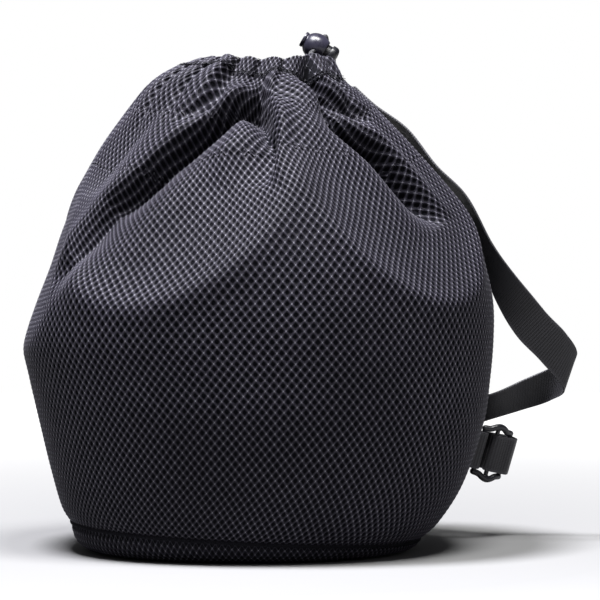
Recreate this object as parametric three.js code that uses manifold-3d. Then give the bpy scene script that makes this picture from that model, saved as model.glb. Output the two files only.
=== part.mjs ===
// Mesh ball bag: a drawstring bag of coarse knitted mesh, filled out as round as the ball that it carries.
// Millimetres, +Z up, the front towards -Y, and the origin on the floor under the middle of the base panel.
import * as THREE from "three";
import Module from "manifold-3d";

const wasm = await Module();
wasm.setup();
const { Manifold, Mesh: SolidMesh } = wasm;

// Driving sizes.
const BAG_WIDTH = 314; // widest, left to right
const BAG_DEPTH = 280; // widest, front to back
const BAG_HEIGHT = 326; // floor to the gathered rim
const FABRIC = 2; // the mesh fabric's wall
const SEAM_GAP = 0.3; // clearance between pieces that are sewn or seated together
const RIM_LIFT = 12; // how far the base seam curls up off the floor at the left
const BASE_FABRIC = 2;
const BASE_TURN_UP = 7.5; // height of the base panel's turned-up edge
const BASE_FLAT = 0.86; // share of the base's radius that lies flat on the floor
const HEM_FABRIC = 1.4; // one layer of the casing
const HEM_TUNNEL = 6.4; // clear width inside the casing
const HEM_OPENING = { at: 92, half: 16 }; // where the casing's ends leave the cord free, degrees from the front
const CORD_DIAMETER = 3;
const GATHER_COUNT = 18;
const GATHER_DEPTH = 4;
const WEBBING_WIDTH = 26;
const WEBBING_THICKNESS = 1.4;

// How finely the cloth is faceted.
const AROUND = 76;
const FRONT_FOCUS = 0.35; // how much closer together the facets are at the front than on average
const BASE_AROUND = 48;
const HEM_STEPS = 72;
const CORD_SIDES = 5;
// Heights of the wall's rings, as shares of the way from the base seam to the casing.
const WALL_RINGS = [
  0, 0.06, 0.15, 0.25, 0.33, 0.4, 0.46, 0.51, 0.56, 0.605, 0.65, 0.69, 0.73, 0.77, 0.81, 0.85, 0.885, 0.92, 0.955, 0.98, 1,
];

const HALF_WIDTH = BAG_WIDTH / 2;
const HALF_DEPTH = BAG_DEPTH / 2;
const rad = THREE.MathUtils.degToRad;
const vec = (x, y, z) => new THREE.Vector3(x, y, z);

// The bag's outline, floor to rim: height as a share of BAG_HEIGHT, how much higher the left side is, and the four sides as
// shares of half the width or depth. The last two rows are the casing's foot and its rim.
const SECTIONS = [
  { height: 0.024, leftUp: 0, left: 0.725, right: 0.75, front: 0.75, back: 0.75 },
  { height: 0.058, leftUp: 0, left: 0.765, right: 0.83, front: 0.8, back: 0.8 },
  { height: 0.138, leftUp: 0, left: 0.807, right: 0.934, front: 0.87, back: 0.87 },
  { height: 0.26, leftUp: 0, left: 0.862, right: 1.019, front: 0.945, back: 0.93 },
  { height: 0.343, leftUp: 0, left: 0.9, right: 1.045, front: 0.975, back: 0.965 },
  { height: 0.426, leftUp: 0, left: 0.934, right: 1.06, front: 0.995, back: 0.985 },
  { height: 0.506, leftUp: 0, left: 0.918, right: 1.058, front: 0.995, back: 0.98 },
  { height: 0.589, leftUp: 0, left: 0.88, right: 1.02, front: 0.975, back: 0.955 },
  { height: 0.672, leftUp: 0, left: 0.86, right: 0.965, front: 0.92, back: 0.9 },
  { height: 0.752, leftUp: 0, left: 0.805, right: 0.852, front: 0.835, back: 0.81 },
  { height: 0.834, leftUp: 0, left: 0.7, right: 0.712, front: 0.7, back: 0.67 },
  { height: 0.89, leftUp: 0.004, left: 0.56, right: 0.59, front: 0.555, back: 0.53 },
  { height: 0.93, leftUp: 0.014, left: 0.42, right: 0.495, front: 0.41, back: 0.4 },
  { height: 0.954, leftUp: 0.028, left: 0.27, right: 0.43, front: 0.305, back: 0.3 },
  { height: 1.0, leftUp: 0, left: 0.17, right: 0.385, front: 0.255, back: 0.255 },
];
const ROUNDNESS = 2.15; // power of the sections' ovals: 2 is an ellipse, more is squarer

// Flat places where the cloth hangs straight from the neck to a rounded edge on the wall: the way each faces, the height of
// its edge as a share of BAG_HEIGHT, how hard it is pulled flat, and the softness and the roll of the edge in millimetres.
const DRAPES = [
  { facing: -25, edge: 0.49, pull: 0.95, soft: 3, roll: 4 },
  { facing: 9, edge: 0.76, pull: 0.9, soft: 4, roll: 3 },
  { facing: 47, edge: 0.5, pull: 0.95, soft: 3, roll: 4 },
  { facing: -80, edge: 0.4, pull: 0.6, soft: 3, roll: 2 },
  { facing: 118, edge: 0.6, pull: 0.7, soft: 6, roll: 1 },
  { facing: 172, edge: 0.5, pull: 0.9, soft: 3, roll: 3 },
  { facing: -132, edge: 0.54, pull: 0.9, soft: 3, roll: 3 },
];
const ROLL_REACH = 5; // how far the roll spreads, measured square to the flat place

// Folds that run down from the gathered neck: compass angles from the front and heights as shares of BAG_HEIGHT at their
// top, bend and foot, the depth and half-width in millimetres, and how far the lip leans over.
const FOLDS = [
  { top: 5, topAt: 0.93, bend: -20, bendAt: 0.85, foot: -44, footAt: 0.7, depth: 14, width: 13, lean: -0.15 },
  { top: -42, topAt: 0.9, bend: -52, bendAt: 0.79, foot: -64, footAt: 0.6, depth: 12, width: 13, lean: -0.1 },
  { top: -27, topAt: 0.96, bend: -30, bendAt: 0.93, foot: -34, footAt: 0.88, depth: 8, width: 9, lean: 0 },
  { top: 7, topAt: 0.93, bend: 8, bendAt: 0.82, foot: -5, footAt: 0.69, depth: 10, width: 9, lean: 0.2 },
  { top: 39, topAt: 0.89, bend: 50, bendAt: 0.79, foot: 59, footAt: 0.65, depth: 15, width: 13, lean: 0.2 },
  { top: 38, topAt: 0.97, bend: 53, bendAt: 0.93, foot: 62, footAt: 0.87, depth: 9, width: 9, lean: 0.1 },
  { top: 150, topAt: 0.95, bend: 146, bendAt: 0.82, foot: 138, footAt: 0.66, depth: 14, width: 13, lean: 0.2 },
  { top: -160, topAt: 0.95, bend: -163, bendAt: 0.8, foot: -168, footAt: 0.64, depth: 15, width: 13, lean: -0.2 },
  { top: -112, topAt: 0.95, bend: -104, bendAt: 0.82, foot: -98, footAt: 0.67, depth: 13, width: 12, lean: 0.2 },
];
const FOLD_STEPS = 24;

// A smooth value through the rows of a table, with s running from 0 at the first row to 1 at the last.
function throughRows(rows, key, s) {
  const last = rows.length - 1;
  const place = THREE.MathUtils.clamp(s, 0, 1) * last;
  const i = Math.min(Math.floor(place), last - 1);
  const t = place - i;
  const [a, b, c, d] = [i - 1, i, i + 1, i + 2].map((k) => rows[THREE.MathUtils.clamp(k, 0, last)][key]);
  return b + 0.5 * t * (c - a + t * (2 * a - 5 * b + 4 * c - d + t * (3 * (b - c) + d - a)));
}

const outwards = (angle) => vec(Math.sin(angle), -Math.cos(angle), 0);

// The place along the section rows, 0 to 1, where the outline has the given share of the height.
function rowAtHeight(share) {
  let low = 0;
  let high = 1;
  for (let k = 0; k < 30; k++) {
    const middle = (low + high) / 2;
    if (throughRows(SECTIONS, "height", middle) < share) low = middle;
    else high = middle;
  }
  return (low + high) / 2;
}

// A point of the plain outline, before any drape or fold. The angle is a compass angle from the front.
function outlinePoint(angle, s) {
  const [sine, cosine] = [Math.sin(angle), Math.cos(angle)];
  const reach = (Math.abs(sine) ** ROUNDNESS + Math.abs(cosine) ** ROUNDNESS) ** (-1 / ROUNDNESS);
  const left = throughRows(SECTIONS, "left", s) * HALF_WIDTH;
  const right = throughRows(SECTIONS, "right", s) * HALF_WIDTH;
  const front = throughRows(SECTIONS, "front", s) * HALF_DEPTH;
  const back = throughRows(SECTIONS, "back", s) * HALF_DEPTH;
  const height = throughRows(SECTIONS, "height", s) * BAG_HEIGHT;
  const curl = (RIM_LIFT * (1 - sine)) / 2 / (1 + (height / (8 * BASE_TURN_UP)) ** 2);
  return vec(
    (right - left) / 2 + ((right + left) / 2) * reach * sine,
    (back - front) / 2 - ((back + front) / 2) * reach * cosine,
    height + curl + (throughRows(SECTIONS, "leftUp", s) * BAG_HEIGHT * (1 - sine)) / 2,
  );
}

function outwardNormal(pointAt, angle, s) {
  const step = 0.01;
  const along = pointAt(angle + step, s).sub(pointAt(angle - step, s));
  const up = pointAt(angle, Math.min(s + step, 1)).sub(pointAt(angle, Math.max(s - step, 0)));
  return along.cross(up).normalize();
}

// Each drape as a plane from its foot on the wall to the neck.
const drapePlanes = DRAPES.map(({ facing, edge, pull, soft, roll }) => {
  const angle = rad(facing);
  const low = outlinePoint(angle, rowAtHeight(edge));
  const high = outlinePoint(angle, rowAtHeight(0.94));
  const level = vec(Math.cos(angle), Math.sin(angle), 0);
  const normal = level.clone().cross(high.clone().sub(low)).normalize();
  return { low, high, normal, pull, soft, roll };
});

function drapedPoint(angle, s) {
  const point = outlinePoint(angle, s);
  for (const { low, high, normal, pull, soft, roll } of drapePlanes) {
    const beyond = point.clone().sub(low).dot(normal);
    const push = beyond > soft ? beyond : beyond < -soft ? 0 : (beyond + soft) ** 2 / (4 * soft);
    const below = THREE.MathUtils.clamp((high.z - point.z) / (high.z - low.z), 0, 1);
    const rolled = roll * Math.exp(-((beyond / ROLL_REACH) ** 2)) * THREE.MathUtils.smoothstep(below, 0.25, 0.8);
    point.addScaledVector(normal, rolled - pull * push);
  }
  return point;
}

// Each fold as a run of points on the draped cloth, with the way across it and its own normal.
const foldPaths = FOLDS.map((fold) => {
  const rows = [
    { angle: fold.top, height: fold.topAt },
    { angle: fold.bend, height: fold.bendAt },
    { angle: fold.foot, height: fold.footAt },
  ];
  const points = [];
  for (let k = 0; k <= FOLD_STEPS; k++) {
    const t = k / FOLD_STEPS;
    const angle = rad(throughRows(rows, "angle", t));
    const s = rowAtHeight(throughRows(rows, "height", t));
    points.push({ t, at: drapedPoint(angle, s), normal: outwardNormal(drapedPoint, angle, s) });
  }
  points.forEach((p, k) => {
    const [before, after] = [points[Math.max(k - 1, 0)], points[Math.min(k + 1, FOLD_STEPS)]];
    p.across = after.at.clone().sub(before.at).normalize().cross(p.normal).normalize();
    p.run = points[Math.min(k + 1, FOLD_STEPS)].at.clone().sub(p.at);
  });
  return { points, depth: fold.depth, width: fold.width, lean: fold.lean };
});

// The nearest place on a fold's run of points.
const scratch = vec(0, 0, 0);
function nearestOnFold(points, place) {
  let least = Infinity;
  let found = null;
  for (let k = 0; k < FOLD_STEPS; k++) {
    const [a, b] = [points[k], points[k + 1]];
    const u = THREE.MathUtils.clamp(scratch.subVectors(place, a.at).dot(a.run) / a.run.lengthSq(), 0, 1);
    const distance = scratch.addScaledVector(a.run, -u).lengthSq();
    if (distance < least) [least, found] = [distance, { a, b, u }];
  }
  const { a, b, u } = found;
  return {
    least,
    t: a.t + u * (b.t - a.t),
    at: a.at.clone().lerp(b.at, u),
    normal: a.normal.clone().lerp(b.normal, u).normalize(),
    across: a.across.clone().lerp(b.across, u).normalize(),
  };
}

// The cloth's outer face: the drapes, then the folds pressed in, then the gathers of the neck.
function clothPoint(angle, s) {
  const plain = drapedPoint(angle, s);
  const point = plain.clone();
  for (const { points, depth, width, lean } of foldPaths) {
    const near = nearestOnFold(points, plain);
    const side = plain.clone().sub(near.at).dot(near.across);
    const past = Math.max(0, near.least - side * side);
    const strength = depth * Math.sin(Math.PI * (0.18 + 0.82 * near.t)) * Math.exp(-past / (width * width));
    const valley = Math.exp(-((side / width) ** 2));
    const lips = Math.exp(-(((Math.abs(side) - 2.1 * width) / (1.1 * width)) ** 2));
    point.addScaledVector(near.normal, strength * (0.25 * lips - valley));
    const lipSide = Math.exp(-(((side * Math.sign(lean) + 1.5 * width) / (1.2 * width)) ** 2));
    point.addScaledVector(near.across, strength * lean * lipSide);
  }
  const share = throughRows(SECTIONS, "height", s);
  const gathered = THREE.MathUtils.smoothstep(share, 0.84, 0.965);
  const wave = Math.cos(GATHER_COUNT * angle + 0.9 * Math.sin(2 * angle + 1) + 0.7 * Math.sin(3 * angle + 2));
  return point.addScaledVector(outwards(angle), gathered * GATHER_DEPTH * 0.5 * wave);
}

// Points in rings, joined to their neighbours. Without flat ends the last ring joins the first one.
function lofted(rings, flatEnds = false) {
  const [rows, count] = [rings.length, rings[0].length];
  const index = [];
  for (let i = 0; i < (flatEnds ? rows - 1 : rows); i++)
    for (let j = 0; j < count; j++) {
      const [a, b] = [i * count + j, i * count + ((j + 1) % count)];
      const [c, d] = [((i + 1) % rows) * count + j, ((i + 1) % rows) * count + ((j + 1) % count)];
      index.push(a, b, d, a, d, c);
    }
  if (flatEnds) {
    const outline = rings[0].map((_, j) => j);
    for (let j = 1; j < count - 1; j++) {
      index.push(outline[0], outline[j + 1], outline[j]);
      index.push((rows - 1) * count, (rows - 1) * count + j, (rows - 1) * count + j + 1);
    }
  }
  const geometry = new THREE.BufferGeometry();
  geometry.setAttribute("position", new THREE.Float32BufferAttribute(rings.flat().flatMap((p) => [p.x, p.y, p.z]), 3));
  geometry.setIndex(index);
  return geometry;
}

function solidOf(geometry) {
  return new Manifold(
    new SolidMesh({
      numProp: 3,
      vertProperties: new Float32Array(geometry.attributes.position.array),
      triVerts: new Uint32Array(geometry.index.array),
    }),
  );
}

function geometryOf(solid) {
  const { vertProperties, triVerts } = solid.getMesh();
  const geometry = new THREE.BufferGeometry();
  geometry.setAttribute("position", new THREE.BufferAttribute(new Float32Array(vertProperties), 3));
  geometry.setIndex(new THREE.BufferAttribute(new Uint32Array(triVerts), 1));
  return geometry;
}

function ringOf(count, pointAt) {
  return Array.from({ length: count }, (_, j) => {
    const turn = (j / count) * 2 * Math.PI;
    return pointAt(turn - FRONT_FOCUS * Math.sin(turn));
  });
}

// The mesh wall, from the base seam up to the casing.
const HEM_FOOT = 1 - 1 / (SECTIONS.length - 1);
function meshBody() {
  const outer = [];
  const inner = [];
  for (const share of WALL_RINGS) {
    const s = share * HEM_FOOT;
    outer.push(ringOf(AROUND, (angle) => clothPoint(angle, s)));
    inner.push(
      ringOf(AROUND, (angle) => clothPoint(angle, s).addScaledVector(outwardNormal(clothPoint, angle, s), -FABRIC)),
    );
  }
  return lofted([...outer, ...inner.reverse()]);
}

// The base panel: a flat floor whose edge turns up to meet the wall. Its profile, from the middle out and back in again:
// the share of the edge's radius, the share of the turned-up height, and millimetres inwards and upwards.
const BASE_PROFILE = [
  { reach: BASE_FLAT, rise: 0, inwards: 0, up: 0 },
  { reach: 0.955, rise: 0.09, inwards: 0, up: 0 },
  { reach: 0.99, rise: 0.38, inwards: 0, up: 0 },
  { reach: 1, rise: 1, inwards: 0.2, up: 0 },
  { reach: 1, rise: 1, inwards: BASE_FABRIC + 0.2, up: 0 },
  { reach: 0.985, rise: 0.4, inwards: BASE_FABRIC, up: 0.6 },
  { reach: 0.945, rise: 0.09, inwards: BASE_FABRIC * 0.5, up: BASE_FABRIC },
  { reach: BASE_FLAT, rise: 0, inwards: 0, up: BASE_FABRIC },
];
function basePanel() {
  const rings = BASE_PROFILE.map(({ reach, rise, inwards, up }) =>
    ringOf(BASE_AROUND, (angle) => {
      const edge = clothPoint(angle, 0);
      const out = outwards(angle);
      const height = edge.z - SEAM_GAP;
      return vec(edge.x * reach, edge.y * reach, height * rise + up).addScaledVector(out, -inwards);
    }),
  );
  return lofted(rings, true);
}

// The casing: a strip of the mesh folded over into the mouth, so that it is open below on the inside. Its section as
// millimetres inwards and a share of the casing's height.
const HEM_WIDTH = HEM_TUNNEL + 2 * HEM_FABRIC;
const HEM_SECTION = [
  { inwards: 0, rise: 0 },
  { inwards: 0, rise: 0.9 },
  { inwards: 1.4, rise: 1 },
  { inwards: HEM_WIDTH - 1.4, rise: 1 },
  { inwards: HEM_WIDTH, rise: 0.9 },
  { inwards: HEM_WIDTH, rise: 0.14 },
  { inwards: HEM_WIDTH - HEM_FABRIC, rise: 0.14 },
  { inwards: HEM_WIDTH - HEM_FABRIC, rise: 0.88 },
  { inwards: HEM_FABRIC, rise: 0.88 },
  { inwards: HEM_FABRIC, rise: 0 },
];
const HEM_START = 0.06; // share of the run from foot to rim that the seam leaves clear
function neckPoint(angle, inwards, rise) {
  const foot = clothPoint(angle, HEM_FOOT).add(vec(0, 0, SEAM_GAP));
  const rim = clothPoint(angle, 1);
  return foot.lerp(rim, HEM_START + (1 - HEM_START) * rise).addScaledVector(outwardNormal(drapedPoint, angle, (HEM_FOOT + 1) / 2), -inwards);
}
const hemAngle = (share) => rad(HEM_OPENING.at + HEM_OPENING.half + share * (360 - 2 * HEM_OPENING.half));
function neckHem() {
  const rings = Array.from({ length: HEM_STEPS + 1 }, (_, k) =>
    HEM_SECTION.map(({ inwards, rise }) => neckPoint(hemAngle(1 - k / HEM_STEPS), inwards, rise)),
  );
  const geometry = lofted(rings, false);
  const body = Array.from(geometry.index.array).slice(0, HEM_STEPS * HEM_SECTION.length * 6);
  const cap = [[0, 1, 9], [1, 8, 9], [1, 2, 8], [2, 3, 8], [3, 7, 8], [3, 4, 7], [4, 5, 7], [5, 6, 7]];
  const last = HEM_STEPS * HEM_SECTION.length;
  for (const [a, b, c] of cap) body.push(a, c, b, last + a, last + b, last + c);
  geometry.setIndex(body);
  return geometry;
}

// The cord lock: its middle, the way its button points, and the way the cord goes through it.
const LOCK = { x: 49, y: 4, z: 334.8, tilt: 32, turn: 40, radius: 9, bore: 6, foot: 5, travel: 3 };
const lockAt = vec(LOCK.x, LOCK.y, LOCK.z);
const lockAxis = vec(Math.cos(rad(LOCK.tilt)), 0, -Math.sin(rad(LOCK.tilt)));
const lockThrough = vec(0, Math.cos(rad(LOCK.turn)), 0).addScaledVector(
  vec(Math.sin(rad(LOCK.tilt)), 0, Math.cos(rad(LOCK.tilt))),
  Math.sin(rad(LOCK.turn)),
);
const lockSide = lockAxis.clone().cross(lockThrough);
const inLock = (along, side, through) =>
  lockAt.clone().addScaledVector(lockAxis, along).addScaledVector(lockSide, side).addScaledVector(lockThrough, through);

// A round shape on the lock's axis, from a profile of places along it and radii.
function turned(profile, sides) {
  const rings = profile.map(({ along, radius }) =>
    Array.from({ length: sides }, (_, j) => {
      const a = (-j / sides) * 2 * Math.PI;
      return inLock(along, radius * Math.cos(a), radius * Math.sin(a));
    }),
  );
  return solidOf(lofted(rings, true));
}
// A straight oblong hole across the lock, long enough for both strands side by side.
function crossHole(from, to, width) {
  const rings = [14, -14].map((through) =>
    [
      [to, -width / 2 + 1],
      [to, width / 2 - 1],
      [to - 1, width / 2],
      [from + 1, width / 2],
      [from, width / 2 - 1],
      [from, -width / 2 + 1],
      [from + 1, -width / 2],
      [to - 1, -width / 2],
    ].map(([along, side]) => inLock(along, side, through)),
  );
  return solidOf(lofted(rings, true));
}
const LOCK_PROFILE = [
  { along: -10.6, radius: 5.4 },
  { along: -8.6, radius: 5.4 },
  { along: -8.2, radius: 4.9 },
  { along: -6.8, radius: 6.6 },
  { along: -3.6, radius: 8.5 },
  { along: 0, radius: 9.1 },
  { along: 3.4, radius: 8.5 },
  { along: 6.4, radius: 7.1 },
];
const cordHole = 2 * CORD_DIAMETER + 1.4;
function lockBody() {
  const bore = turned([{ along: -6, radius: LOCK.bore }, { along: 9, radius: LOCK.bore }], 20);
  return turned(LOCK_PROFILE, 24).subtract(bore).subtract(crossHole(-2, 2, cordHole));
}
function lockPlunger() {
  const stem = turned(
    [
      { along: -2.6, radius: LOCK.bore - 0.35 },
      { along: 9.6, radius: LOCK.bore - 0.35 },
      { along: 9.9, radius: 6.9 },
      { along: 12.4, radius: 6.9 },
      { along: 13.6, radius: 5.6 },
    ],
    20,
  );
  return stem.subtract(crossHole(-1.9, 1.9 + LOCK.travel, cordHole - 0.4));
}

// A round cord along a smooth run of points.
function roundCord(points, diameter, steps) {
  const curve = new THREE.CatmullRomCurve3(points, false, "centripetal");
  const spots = curve.getSpacedPoints(steps);
  let across = vec(0, 0, 1);
  const rings = spots.map((spot, k) => {
    const along = spots[Math.min(k + 1, steps)].clone().sub(spots[Math.max(k - 1, 0)]).normalize();
    across.addScaledVector(along, -across.dot(along)).normalize();
    const side = along.clone().cross(across);
    return Array.from({ length: CORD_SIDES }, (_, j) => {
      const a = (j / CORD_SIDES) * 2 * Math.PI;
      const r = diameter / 2;
      return spot.clone().addScaledVector(across, r * Math.cos(a)).addScaledVector(side, r * Math.sin(a));
    });
  });
  return solidOf(lofted(rings, true));
}

// The drawcord: in the casing nearly all the way round, then both strands through the lock and into one knot.
const STRAND_GAP = 3.5; // between the strands' middles in the lock
const KNOT = { x: 58.5, y: 36.5, z: 331.5, radius: 4.2 };
function strand(end) {
  const side = (STRAND_GAP / 2) * end;
  return [
    inLock(0, side, -14),
    inLock(0, side, -9),
    inLock(0, side, 0),
    inLock(0, side, 9),
    inLock(0, side, 15).add(vec(0.5, 0, -1)),
    vec(KNOT.x, KNOT.y, KNOT.z).add(vec(-2.2, -8, 5.5)).addScaledVector(lockSide, side * 0.6),
    vec(KNOT.x, KNOT.y, KNOT.z),
  ];
}
function drawcord() {
  const inside = Array.from({ length: HEM_STEPS + 1 }, (_, k) =>
    neckPoint(hemAngle(k / HEM_STEPS), HEM_FABRIC + HEM_TUNNEL / 2, 0.58),
  );
  const back = [vec(-5.5, -9.5, 3.5), vec(-0.3, -4, 0.6)].map((step) => inside[0].clone().add(step));
  const front = [vec(0, 4, 0.6), vec(-5.2, 5, 4)].map((step) => inside[HEM_STEPS].clone().add(step));
  const points = [...strand(-1).reverse(), ...back, ...inside, ...front, ...strand(1)];
  const knot = Manifold.sphere(KNOT.radius, 12).translate([KNOT.x, KNOT.y, KNOT.z]);
  return roundCord(points, CORD_DIAMETER, 150).add(knot);
}

// The buckle's own directions: along towards the strap's loop, across its width, and out towards the back.
const BUCKLE = { x: 172, y: 62, z: 60, bar: 1.6, rail: 1.9 };
const buckleAlong = vec(0.85, 0.48, -0.2).normalize();
const buckleAcross = vec(-0.27, 0.078, -0.96).normalize();
const buckleOut = buckleAlong.clone().cross(buckleAcross).normalize();
const inBuckle = (along, across, out) =>
  vec(BUCKLE.x, BUCKLE.y, BUCKLE.z)
    .addScaledVector(buckleAlong, along)
    .addScaledVector(buckleAcross, across)
    .addScaledVector(buckleOut, out);

// The ladder lock: two bowed side rails and three cross bars.
const LADDER = { halfWidth: 15.6, barAnchor: -12, barGrip: -1, barLip: 9.5 };
const RAIL = [
  { along: -12, out: 0 },
  { along: -7, out: -1.9 },
  { along: -1, out: -2.6 },
  { along: 5, out: -1.9 },
  { along: 9.5, out: 0 },
];
function ladderLock() {
  const ball = (along, across, out, r) => Manifold.sphere(r, 8).translate(inBuckle(along, across, out).toArray());
  const link = (a, b, r) => Manifold.hull([ball(...a, r), ball(...b, r)]);
  const pieces = [];
  for (const side of [-LADDER.halfWidth, LADDER.halfWidth])
    for (let k = 0; k < RAIL.length - 1; k++)
      pieces.push(link([RAIL[k].along, side, RAIL[k].out], [RAIL[k + 1].along, side, RAIL[k + 1].out], BUCKLE.rail));
  for (const along of [LADDER.barAnchor, LADDER.barLip])
    pieces.push(link([along, -LADDER.halfWidth, 0], [along, LADDER.halfWidth, 0], BUCKLE.bar));
  pieces.push(link([LADDER.barGrip, -LADDER.halfWidth, 0], [LADDER.barGrip, LADDER.halfWidth, 0], BUCKLE.bar));
  for (const side of [-LADDER.halfWidth, LADDER.halfWidth])
    pieces.push(link([LADDER.barGrip, side, -2.6], [LADDER.barGrip, side, 0], BUCKLE.bar));
  return Manifold.union(pieces);
}

// A flat webbing along rows of places, each with the way across it.
function webbing(rows, perRow) {
  const spots = [];
  const smooth = (pick, s) =>
    vec(...["x", "y", "z"].map((key) => throughRows(rows.map((row) => ({ [key]: pick(row)[key] })), key, s)));
  const steps = (rows.length - 1) * perRow;
  for (let k = 0; k <= steps; k++)
    spots.push({ at: smooth((r) => r.at, k / steps), across: smooth((r) => r.across, k / steps).normalize() });
  return lofted(
    spots.map(({ at, across }, k) => {
      const along = spots[Math.min(k + 1, steps)].at.clone().sub(spots[Math.max(k - 1, 0)].at).normalize();
      const face = along.clone().cross(across).normalize();
      return [
        [-1, -1],
        [1, -1],
        [1, 1],
        [-1, 1],
      ].map(([a, f]) =>
        at
          .clone()
          .addScaledVector(across, (a * WEBBING_WIDTH) / 2)
          .addScaledVector(face, (f * WEBBING_THICKNESS) / 2),
      );
    }),
    true,
  );
}

// The strap's way down the bag's right shoulder: compass angle from the front, height as a share of BAG_HEIGHT, and the
// clearance over the cloth in millimetres.
const STRAP_ON_CLOTH = [
  { angle: 116, height: 0.94, clear: 4.5 },
  { angle: 109, height: 0.905, clear: 4 },
  { angle: 103, height: 0.85, clear: 3.5 },
  { angle: 99, height: 0.78, clear: 3.5 },
  { angle: 97, height: 0.71, clear: 6 },
];
// Then free of the bag: out to the right, round the fold, and back behind it. Middle of the strap and the way across it.
const STRAP_FREE = [
  { x: 164, y: 18, z: 197, acrossX: -0.18, acrossY: 0.8, acrossZ: -0.55 },
  { x: 177, y: 23, z: 174, acrossX: -0.45, acrossY: 0.6, acrossZ: -0.65 },
  { x: 195, y: 30, z: 149.6, acrossX: -0.69, acrossY: 0.2, acrossZ: -0.69 },
  { x: 210.7, y: 36, z: 133.8, acrossX: -0.62, acrossY: 0.15, acrossZ: -0.77 },
  { x: 223.6, y: 47, z: 116.8, acrossX: -0.34, acrossY: 0.1, acrossZ: -0.94 },
  { x: 213.8, y: 60, z: 108.5, acrossX: -0.12, acrossY: 0.3, acrossZ: -0.95 },
  { x: 193.4, y: 68, z: 100, acrossX: 0, acrossY: 0.55, acrossZ: -0.83 },
  { x: 168.6, y: 72, z: 90.7, acrossX: -0.09, acrossY: 0.65, acrossZ: -0.75 },
  { x: 146, y: 86, z: 84.5, acrossX: 0.1, acrossY: 0.4, acrossZ: -0.9 },
  { x: 124, y: 103, z: 79.5, acrossX: 0.1, acrossY: 0.15, acrossZ: -0.97 },
  { x: 110, y: 119, z: 74.5, acrossX: 0.05, acrossY: 0, acrossZ: -1 },
  { x: 123, y: 122, z: 69.5, acrossX: 0, acrossY: 0, acrossZ: -1 },
  { x: 150, y: 102, z: 63, acrossX: -0.1, acrossY: 0, acrossZ: -1 },
];
// Then into the buckle: millimetres along it and out behind it.
const STRAP_IN_BUCKLE = [
  { along: 11, out: 8.6 },
  { along: 17.4, out: 3.4 },
  { along: 12.5, out: -3 },
  { along: 6, out: -3.2 },
  { along: -1, out: -3 },
  { along: -4.2, out: 0 },
  { along: -1, out: 3 },
  { along: 4, out: 3.2 },
  { along: 10, out: 3.4 },
];
function shoulderStrap() {
  const rows = [];
  for (const { angle, height, clear } of STRAP_ON_CLOTH) {
    const s = rowAtHeight(height);
    const face = outwardNormal(drapedPoint, rad(angle), s);
    const at = drapedPoint(rad(angle), s).addScaledVector(face, clear);
    const across = drapedPoint(rad(angle + 4), s).sub(drapedPoint(rad(angle - 4), s)).normalize();
    rows.push({ at, across });
  }
  for (const row of STRAP_FREE)
    rows.push({ at: vec(row.x, row.y, row.z), across: vec(row.acrossX, row.acrossY, row.acrossZ).normalize() });
  for (const { along, out } of STRAP_IN_BUCKLE) rows.push({ at: inBuckle(along, 0, out), across: buckleAcross });
  return webbing(rows, 3);
}

// The webbing loop that holds the buckle: from the seam, round the buckle's bar and back.
const ANCHOR = [
  { along: -30, out: -1.1 },
  { along: -24, out: -1.5 },
  { along: -16, out: -2.8 },
  { along: -12, out: -3.1 },
  { along: -8.8, out: 0 },
  { along: -12, out: 3.1 },
  { along: -16, out: 2.8 },
  { along: -24, out: 1.5 },
  { along: -30, out: 1.1 },
];
function lowerAnchor() {
  return webbing(
    ANCHOR.map(({ along, out }) => ({ at: inBuckle(along, 0, out), across: buckleAcross })),
    3,
  );
}

const meshFabric = new THREE.MeshStandardMaterial({ color: 0x1b1a20, roughness: 0.85 });
const closedFabric = new THREE.MeshStandardMaterial({ color: 0x121114, roughness: 0.9 });
const cordFabric = new THREE.MeshStandardMaterial({ color: 0x0e0e10, roughness: 0.8 });
const plastic = new THREE.MeshStandardMaterial({ color: 0x121218, roughness: 0.35 });
const strapFabric = new THREE.MeshStandardMaterial({ color: 0x18181a, roughness: 0.75 });

const group = new THREE.Group();
function add(name, geometry, material) {
  const mesh = new THREE.Mesh(geometry, material.clone());
  mesh.name = name;
  geometry.computeVertexNormals();
  group.add(mesh);
}
add("mesh_body", meshBody(), meshFabric);
add("base_panel", basePanel(), closedFabric);
add("neck_hem", neckHem(), meshFabric);
add("drawcord", geometryOf(drawcord()), cordFabric);
add("cord_lock_body", geometryOf(lockBody()), plastic);
add("cord_lock_plunger", geometryOf(lockPlunger()), plastic);
add("shoulder_strap", shoulderStrap(), strapFabric);
add("ladder_lock", geometryOf(ladderLock()), plastic);
add("lower_anchor", lowerAnchor(), strapFabric);

export default group;
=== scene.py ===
import math

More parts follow.
